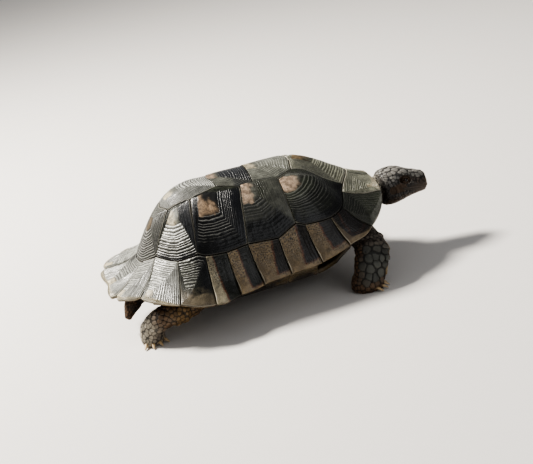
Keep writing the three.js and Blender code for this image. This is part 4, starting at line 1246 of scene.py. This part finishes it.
def headLook(points, normals, patch):
    x, y = points[:, 0], points[:, 1]
    up = normals[:, 2]
    neck = 1 - smooth(x, 145, 148)
    crown = smooth(up, 0.25, 0.6) * (1 - neck)
    under = smooth(-up, 0.2, 0.6)
    beak = beakAt(points)
    drum = drumAt(points)
    around = np.minimum(eyePlace(points, 1)[0], eyePlace(points, -1)[0])
    size = 2.1 + 0.3 * (1 - neck) + crown * (0.7 + 2.2 * smooth(x, 158, 166))
    cheek = (1 - crown) * (1 - under) * (1 - neck)
    size += cheek * (0.9 * gaussian(drum - 5.5, 3) + 0.5 * smooth(x, 182, 190))
    size = np.minimum(size, 1.5 + 1.3 * np.maximum(around - 1.9, 0))
    lip = gaussian(mouthHeight(points), 0.6) * smooth(x, 163, 165)
    nostril = nostrilAt(points)
    size = np.minimum(size, 1.2 + 0.9 * np.maximum(nostril - 1.7, 0))
    size[(beak > 0.25) | (lip > 0.45) | (around < 1.95) | (nostril < 1.8)] = 0
    size[(drum < 3.9) & (np.abs(y) > 8)] = 0
    beakTint = painted(beakBrown * 0.5, (beakBrown * 1.1, smooth(x, 178, 198)))
    neckTint = painted(skinPale * 0.9, (skinBrown * 0.8, smooth(-up, -0.3, 0.5)))
    # Colour by which way the surface faces: the upward crown pale grey, the sides dark charcoal. This is partly the
    # head's own colours, partly painted light on the top and painted shade on the sides.
    colour = painted(
        skinCharcoal * 0.55, (skinGrey * 1.1, crown),
        (skinPale * 0.7, smooth(patch, 0.2, 0.55) * gaussian(x - 153, 8) * (1 - crown) * 0.8),
        (skinBrown * 0.45, smooth(x, 174, 190) * (1 - crown) * 0.6), (skinBrown * 0.5, under * 0.8),
        (skinBrown * 0.6, 1 - smooth(around, 2.0, 2.5)),
        (skinBrown * 0.5, (1 - smooth(drum, 3.4, 4)) * (np.abs(y) > 8) * (1 - neck)),
        # painted shade: the nostrils are darkened nearly to black
        (beakTint, beak), (skinCharcoal * 0.1, gaussian(nostril, 0.9)), (neckTint, neck))
    return size, colour, 0.1 + 0.25 * neck


def skinMaterial():
    p = Paint("tortoiseSkin")
    tint = p.attribute("tint", colour=True)
    horny, bare = p.attribute("horny"), p.attribute("bare")
    grain = p.noise(1500, 3)
    streak = p.noise(1, 3, place=p.scaled(p.place(), (1500, 500, 160)))
    coarse, small = p.cells(700), p.cells(1700)
    cells = p.blend(bare, p.step(coarse, 0.02, 0.16), p.step(small, 0.02, 0.2))
    # Painted shade: the creases between the skin's small scales are darkened.
    creaseShaded = p.mix((1 - cells) * (1 - horny), tint, p.tinted(tint, 0.4))
    streaked = p.mix(horny * p.step(streak, 0.4, 0.7) * 0.35, creaseShaded, p.tinted(tint, 0.5))
    dusty = p.mix(p.step(grain, 0.45, 0.8) * 0.3, streaked, p.tinted(streaked, 1.6))
    height = p.blend(horny, cells * 0.6 + grain * 0.3, streak * 0.4)
    rough = 0.46 + grain * 0.25 - horny * 0.16
    return p.set(Base_Color=dusty, Roughness=rough, Normal=p.bump(height, 0.5, 0.0005))


def makeSkin():
    points, triangles, normals = buildSkin()
    look = fleshLook(points, normals)
    # Painted shade: the skin is darkened where scales stand on it, so that it shows dark in the gaps between them.
    between = 1 - 0.6 * smooth(look["size"], 0.5, 2)[:, None]
    onHead = points[:, 0] > 160
    attributes = {"tint": look["tint"] * between, "horny": beakAt(points) * onHead,
                  "bare": (points[:, 0] > 100) * (look["which"] == limbNames.index("head")) * 1.0}
    made = makePiece("skin", points, [triangles], skinMaterial(), attributes)
    nodes = ["trunk", "neck", "head", "tail", *(f"leg_{name}" for name in legMake)]
    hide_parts(*nodes)
    return points, triangles, normals, look


skin = makeSkin()


# Scales: low closed solids that stand on the skin.

scaleMake = {
    "spacing": 0.86, "gap": 0.14, "rise": 0.2, "risePerSize": 0.075, "root": 0.45, "tipLift": 0.08, "overlap": 0.16,
    "uneven": 0.16, "patch": 0.0015, "widest": 0.66, "corner": 18,
    "darts": 11, "rounds": 3, "neighbours": 15,
    "fine": {"around": 9, "rows": [(1, -1), (0.99, 0.35), (0.8, 0.8), (0.42, 1)]},
    "broad": {"around": 16, "rows": [(1, -1), (0.995, 0.35), (0.96, 0.68), (0.84, 0.88), (0.55, 0.97), (0.25, 1)]},
}
crownShields = [  # x, y of a head shield and its size
    (188, 3.3, 6), (179.5, 0, 8.5), (173.5, 8.6, 7), (171, 2.9, 5.6), (165, 7.4, 6.4), (163.5, 0, 6),
    (157.5, 4.6, 5.6), (157, 11.2, 5), (151.5, 0, 4.6), (194.5, 0, 3.6),
]


def scatter(points, triangles, size, seed, fixed):
    # Darts thrown over the skin, kept as far apart as the size wanted there, then evened out.
    rng = np.random.default_rng(seed)
    want = size[triangles].min(1)
    corners = points[triangles]
    area = np.linalg.norm(np.cross(corners[:, 1] - corners[:, 0], corners[:, 2] - corners[:, 0]), axis=1) / 2
    weight = np.where(want > 0.5, area / np.maximum(want, 0.5) ** 2, 0)
    count = int(weight.sum() * scaleMake["darts"])
    pick = rng.choice(len(triangles), count, p=weight / weight.sum())
    share = rng.random((count, 2))
    share = np.where(share.sum(1, keepdims=True) > 1, 1 - share, share)
    bary = np.column_stack([1 - share.sum(1), share])
    at = (corners[pick] * bary[..., None]).sum(1)
    reach = (size[triangles[pick]] * bary).sum(1)
    order = len(fixed) + np.argsort(-reach * rng.uniform(0.96, 1.04, count))
    at = np.concatenate([[p for p, _ in fixed], at]) if fixed else at
    reach = np.concatenate([[s for _, s in fixed], reach]) if fixed else reach
    tree = treeOf(at)
    free = np.ones(len(at), bool)
    taken = []
    for i in [*range(len(fixed)), *order.tolist()]:
        if free[i]:
            taken.append(i)
            near = [j for _, j, _ in tree.find_range(at[i], reach[i] * scaleMake["spacing"])]
            free[near] = False
    seeds, sizes = at[taken], reach[taken]
    for _ in range(scaleMake["rounds"]):
        nearest = treeOf(seeds)
        owner = np.array([nearest.find(p)[1] for p in at[::2]])
        total = np.maximum(np.bincount(owner, minlength=len(seeds)), 1)
        moved = np.column_stack([np.bincount(owner, at[::2, k], len(seeds)) for k in range(3)]) / total[:, None]
        seeds[len(fixed):] = moved[len(fixed):]
    return seeds, sizes


def growScales(name, wanted, kind, material, seed, fixed=(), span=(-400, 400)):
    points, triangles, normals, look = skin
    make = scaleMake
    size = np.where(look["which"] == limbNames.index(wanted), look["size"], 0)
    size = np.where((points[:, 0] > span[0]) & (points[:, 0] < span[1]), size, 0)
    surface = skinSurface
    pinned = []
    for x, y, reach in fixed:
        for sign in ([1, -1] if y else [1]):
            pinned.append((np.array(surface.ray_cast(Vector((x, y * sign, 140)), Vector((0, 0, -1)))[0]), reach))
    seeds, sizes = scatter(points, triangles, size, seed, pinned)
    hits = [surface.find_nearest(p) for p in seeds.tolist()]
    seeds = np.array([h[0] for h in hits])
    up = unit(normals[triangles[[h[2] for h in hits]]].mean(1))
    here = fleshLook(seeds, up)
    lie = unit(here["lie"] + 1e-6 - up * (here["lie"] * up).sum(1, keepdims=True))
    across = np.cross(up, lie)

    # the edge of each scale, half way to its neighbours all round
    tree = treeOf(seeds)
    near = np.array([[j for _, j, _ in tree.find_n(p, make["neighbours"])][1:] for p in seeds.tolist()])
    offset = seeds[near] - seeds[:, None]
    x, y = (offset * lie[:, None]).sum(2), (offset * across[:, None]).sum(2)
    away = np.hypot(x, y)
    share = sizes[:, None] / (sizes[:, None] + sizes[near])
    around = make[kind]["around"]
    turn = circle(around)
    facing = np.cos(turn[None, :, None] - np.arctan2(y, x)[:, None, :])
    limit = np.where(facing > 0.12, (share * away)[:, None] / np.maximum(facing, 0.12), 1e3)
    widest = np.broadcast_to(sizes[:, None, None] * make["widest"], (*limit.shape[:2], 1))
    limit = np.maximum(np.concatenate([limit, widest], 2), 0.05)
    radius = (limit ** -float(make["corner"])).sum(2) ** (-1 / make["corner"]) - make["gap"] / 2
    lift = here["lift"][:, None]
    tipward = np.maximum(np.cos(turn), 0)[None] ** 2
    radius = np.maximum(radius * (1 + make["overlap"] * lift * tipward), 0.25)
    flat = (lie[:, None] * (radius * np.cos(turn))[..., None] + across[:, None] * (radius * np.sin(turn))[..., None])
    pressed = np.array([surface.find_nearest(p)[0] for p in (seeds[:, None] + flat).reshape(-1, 3).tolist()])
    bend = pressed.reshape(flat.shape) - seeds[:, None] - flat
    bend *= np.minimum(1, 0.4 * radius / np.maximum(np.linalg.norm(bend, axis=2), 1e-6))[..., None]

    rng = np.random.default_rng(seed + 500)
    chance = rng.random(len(seeds))
    rise = (make["rise"] + make["risePerSize"] * sizes) * (1 + make["uneven"] * (2 * rng.random(len(seeds)) - 1))
    rows = []
    for far, high in make[kind]["rows"]:
        height = np.where(high < 0, -make["root"], rise * max(high, 0))[:, None]
        height = height + (high > 0) * make["tipLift"] * lift * sizes[:, None] * far * np.cos(turn)[None]
        rows.append(seeds[:, None] + flat * far + bend * far**2 + up[:, None] * height[..., None])
    rows = np.stack(rows, 1)
    count = len(seeds)
    perScale = rows.shape[1] * around + 2
    ends = np.stack([seeds + up * rise[:, None], seeds - up * make["root"]], 1)
    cloud = np.concatenate([rows.reshape(count, -1, 3), ends], 1).reshape(-1, 3)
    cloud[:, 2] = np.maximum(cloud[:, 2], 0.03)
    starts = (np.arange(count) * perScale)[:, None, None]
    top, bottom = rows.shape[1] * around, rows.shape[1] * around + 1
    quads = (ringFaces(rows.shape[1], around)[None] + starts).reshape(-1, 4)
    fans = np.concatenate([fanFaces(top, top - around, around, False), fanFaces(bottom, 0, around, True)])
    fans = (fans[None] + starts).reshape(-1, 3)

    far = np.array([f for f, _ in make[kind]["rows"]])
    rho = np.concatenate([np.repeat(far, around), [0, 0]])
    shade = here["tint"] * (0.8 + 0.45 * chance)[:, None]
    attributes = {
        "tint": np.repeat(shade, perScale, 0), "rho": np.tile(rho, count),
        "big": np.repeat(smooth(sizes, 3, 6), perScale),
    }
    made = makePiece(name, cloud, [quads, fans], material, attributes)
    root = np.column_stack([0.03 + 0.94 * (here["angle"] / (2 * np.pi) + 0.5), 0.03 + 0.94 * here["along"]])
    ring = np.stack([np.outer(far, np.cos(turn)).ravel(), np.outer(far, np.sin(turn)).ravel()], -1)
    patch = np.concatenate([ring, [[0, 0], [0, 0]]]) * make["patch"]
    bakeMap(made, (root[:, None] + patch[None]).reshape(-1, 2))
    print(name, count, "scales", 2 * len(quads) + len(fans), "triangles")
    return made


def bakeMap(piece, place):
    mesh = piece.data
    corner = np.empty(len(mesh.loops), np.int32)
    mesh.loops.foreach_get("vertex_index", corner)
    mesh.uv_layers.new(name="OFBake").data.foreach_set("uv", place[corner].astype(np.float32).ravel())


def scaleMaterial(name, gloss, rings):
    p = Paint(name)
    tint, rho, big = (p.attribute(n, colour=n == "tint") for n in ("tint", "rho", "big"))
    grain = p.noise(1400, 3)
    soft = p.noise(260, 2)
    ringed = p.maths("SINE", (rho + soft * 0.25) * 34) * 0.5 + 0.5
    lined = p.mix(ringed * big * rings, tint, p.tinted(tint, (0.55, 0.55, 0.54)))
    # Painted shade: each scale is darkened round its rim, where it drops into the gaps.
    rimShaded = p.mix(p.step(rho, 0.82, 1.0) * 0.7, lined, p.tinted(lined, (0.25, 0.23, 0.22)))
    dusty = p.mix(p.step(grain + soft * 0.4, 0.55, 0.95) * 0.4, rimShaded, p.tinted(rimShaded, (1.8, 1.75, 1.6)))
    height = grain * 0.3 + ringed * big * rings * 0.8
    return p.set(Base_Color=dusty, Roughness=gloss + grain * 0.25, Normal=p.bump(height, 0.5, 0.0004))


skinSurface = BVHTree.FromPolygons(skin[0].tolist(), skin[1].tolist())


def makeScales():
    dull = scaleMaterial("limbScales", 0.42, 0.13)
    glossy = scaleMaterial("headScales", 0.26, 0.04)
    growScales("headScales", "head", "broad", glossy, 61, crownShields, span=(146.8, 400))
    growScales("neckScales", "head", "fine", dull, 60, span=(-400, 145.6))
    for index, name in enumerate(legMake):
        growScales(f"legScales_{name}", name, "broad", dull, 62 + index)
    growScales("tailScales", "tail", "broad", dull, 70)


makeScales()


# Claws and eyes.

clawMake = {"length": 8.5, "halfWidth": 2.3, "halfHeight": 1.9, "height": 4.2, "clear": 0.7, "start": -1.5,
            "rows": 15, "around": 20}


def clawSolid(root, heading, rng):
    make = clawMake
    ahead = np.array([math.cos(math.radians(heading)), math.sin(math.radians(heading)), 0])
    across = np.array([-ahead[1], ahead[0], 0])
    share = np.linspace(0, 1, make["rows"])
    turn = circle(make["around"])
    length = make["length"] * rng.uniform(0.9, 1) - make["start"]
    size = np.sqrt(np.maximum(1 - share**2.6, 0)) * (1 - 0.42 * share) + 0.02
    high = make["height"] - (make["height"] - make["clear"] - 0.25) * share**1.8
    rim = np.sign(np.sin(turn)) * np.abs(np.sin(turn)) ** 0.85
    rim = np.where(rim < 0, rim * 0.75, rim)  # flatter below
    rings = (root + ahead * (make["start"] + length * share)[:, None, None]
             + across * (np.outer(size, np.cos(turn)) * make["halfWidth"])[..., None]
             + np.array([0, 0, 1]) * (high[:, None] + np.outer(size, rim) * make["halfHeight"])[..., None])
    return closedRings(rings), np.append(np.repeat(share, make["around"]), [0, 1])


def makeClaws():
    p = Paint("clawHorn")
    reach = p.attribute("reach")
    streak = p.noise(500, 3)
    horn = p.mix(p.step(reach + streak * 0.3, 0.25, 0.75), srgb(92, 72, 50), srgb(178, 156, 122))
    worn = p.mix(p.step(streak, 0.5, 0.8) * 0.4, horn, srgb(70, 56, 42))
    material = p.set(Base_Color=worn, Roughness=0.32 + streak * 0.2, Normal=p.bump(streak, 0.4, 0.0004))
    for index, (name, leg) in enumerate(legMake.items()):
        rng = np.random.default_rng(80 + index)
        solids, reaches = zip(*(clawSolid(root, heading, rng) for root, heading in zip(*clawRoots(leg))))
        points, triangles = joined(solids)
        made = makePiece(f"claws_{name}", points, [triangles], material, {"reach": np.concatenate(reaches)})


def makeEyes():
    p = Paint("eyeGloss")
    gaze = p.attribute("gaze")
    fleck = p.noise(1800, 2)
    iris = p.mix(fleck, srgb(30, 20, 14), srgb(60, 40, 24))
    rimmed = p.mix(p.step(gaze, 0.62, 0.74), iris, srgb(20, 16, 14))
    dark = p.mix(1 - p.step(gaze, 0.3, 0.34), rimmed, (0.002, 0.002, 0.002))
    material = p.set(Base_Color=dark, Roughness=0.1, Specular_IOR_Level=0.3, Coat_Weight=0.25, Coat_Roughness=0.03)
    down = np.linspace(0, np.pi, eyeMake["rows"] + 2)[1:-1]
    turn = circle(eyeMake["around"])
    for side, sign in sides:
        centre, outward, ahead, high = eyeFrame(sign)
        swell = 1 + 0.035 * gaussian(down, 0.45)
        ring = (outward * (np.cos(down) * swell)[:, None, None]
                + ahead * np.outer(np.sin(down) * swell, np.cos(turn))[..., None]
                + high * np.outer(np.sin(down) * swell, np.sin(turn))[..., None])
        points, triangles = closedRings(centre + ring * (eyeMake["radius"] - 0.05))
        made = makePiece(f"eye_{side}_ball", points, [triangles], material,
                         {"gaze": np.append(np.repeat(down, len(turn)), [0, np.pi])})
        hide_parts(f"eye_{side}")


makeClaws()
makeEyes()
print("claws and eyes made")


# The underside.

plastronMake = {"height": 18, "inner": 45, "outer": 70.5, "rise": 17, "lobe": (60, 104, 7)}
plastronPlates = {
    "gular": [(74, 0), (104, 0), (106, 10), (97, 25)],
    "humeral": [(47, 0), (74, 0), (97, 25), (76, 42), (53, 48)],
    "pectoral": [(20, 0), (47, 0), (53, 48), (48, 70), (20, 70)],
    "abdominal": [(-44, 0), (20, 0), (20, 70), (-38, 70), (-44, 50)],
    "femoral": [(-80, 0), (-44, 0), (-44, 50), (-70, 49), (-94, 40)],
    "anal": [(-106, 0), (-80, 0), (-94, 40), (-114, 20)],
}


def plastronPoint(plan):
    m = plastronMake
    side = smooth(np.abs(plan[..., 1]), m["inner"], m["outer"])
    lobe = smooth(np.abs(plan[..., 0] + 4), m["lobe"][0], m["lobe"][1])
    return np.concatenate([plan, (m["height"] + m["rise"] * side + m["lobe"][2] * lobe)[..., None]], -1)


def alwaysSquare(plan):
    return np.ones(plan.shape[:-1])


undersideKind = {"surface": plastronPoint, "steps": (0.5, 0.5), "swell": 0.2, "square": alwaysSquare, "thickness": 5}


def makeUnderside():
    horn = hornMaterial("undersideHorn")
    blotch = srgb(44, 34, 26)
    # The underside's horn is painted dark tan with dark blotches: partly its own colour, partly painted shade for the
    # shadow beneath the shell.
    look = {"rings": 9, "nestShare": 0.3, "ridge": 0.35, "crest": 0.15, "gap": 0.08,
            "edge": hornTan * 0.5, "under": hornTan * 0.3,
            "patches": [{"rows": (0.25, 0.72), "tint": blotch, "soft": 0.14}]}
    for side, sign in sides:
        for index, (name, corners) in enumerate(plastronPlates.items()):
            runs = [("edge", throughCorners(*corners, corners[0]))]
            heart = np.mean(corners, 0)
            made = makePlate(f"undersideHorn_{name}_{side}", undersideKind, runs, heart,
                             look, horn, sign, [f"plastron_{name}_{side}"], 50 + index)
    print("underside made")


makeUnderside()


# Floor, light and camera.

stage = {
    "floorSize": 40, "skyStrength": 0.26, "lookAt": (0, 0, 0.05),
    "lights": [  # name, place, size, watts, colour, share that shines back
        ("key", (-1.0, 0.75, 1.6), 0.5, 85, (1, 0.955, 0.89), 1),
        ("fill", (0.9, -1.6, 0.9), 1.5, 7, (0.97, 0.98, 1), 0.25),
    ],
}


def makeStage():
    paint = Paint("paleFloor")
    speck = paint.noise(40, 2)
    shade = paint.mix(speck * 0.12, (0.72, 0.70, 0.67), (0.6, 0.58, 0.55))
    bpy.ops.mesh.primitive_plane_add(size=stage["floorSize"])
    floor = bpy.context.object
    floor.name = "floor"
    floor.data.materials.append(paint.set(Base_Color=shade, Roughness=0.85))
    world = bpy.data.worlds.new("studio")
    bpy.context.scene.world = world
    world.use_nodes = True
    sky = world.node_tree.nodes["Background"].inputs
    sky["Color"].default_value = (0.98, 0.98, 1, 1)
    sky["Strength"].default_value = stage["skyStrength"]
    bpy.context.scene.view_settings.view_transform = "AgX"
    bpy.context.scene.view_settings.look = "AgX - High Contrast"
    for name, place, size, power, colour, shine in stage["lights"]:
        light = bpy.data.lights.new(name, "AREA")
        light.shape, light.size = "DISK", size
        light.energy = power
        light.color = colour
        light.specular_factor = shine
        lamp = bpy.data.objects.new(name, light)
        lamp.location = place
        lamp.rotation_euler = (Vector(stage["lookAt"]) - Vector(place)).to_track_quat("-Z", "Y").to_euler()
        bpy.context.scene.collection.objects.link(lamp)


view = {"azimuth": -11, "elevation": 20, "roll": -12.31, "distance": 1.2, "lens": 79.1,
        "shift": (0.0374, -0.0081), "target": (0, 0, 70)}


def makeCamera():
    a, e, roll = (math.radians(view[k]) for k in ("azimuth", "elevation", "roll"))
    back = Vector((math.sin(a) * math.cos(e), -math.cos(a) * math.cos(e), math.sin(e)))
    right = (-back).cross(Vector((0, 0, 1))).normalized()
    up = right.cross(-back)
    across = right * math.cos(roll) + up * math.sin(roll)
    above = up * math.cos(roll) - right * math.sin(roll)
    target = Vector(((middleShift + view["target"]) / 1000).tolist())
    camera = bpy.data.cameras.new("camera")
    camera.lens = view["lens"]
    camera.shift_x, camera.shift_y = view["shift"]
    holder = bpy.data.objects.new("camera", camera)
    facing = Matrix((across, above, back)).transposed().to_4x4()
    holder.matrix_world = Matrix.Translation(target + back * view["distance"]) @ facing
    bpy.context.scene.collection.objects.link(holder)
    bpy.context.scene.camera = holder


makeStage()
makeCamera()
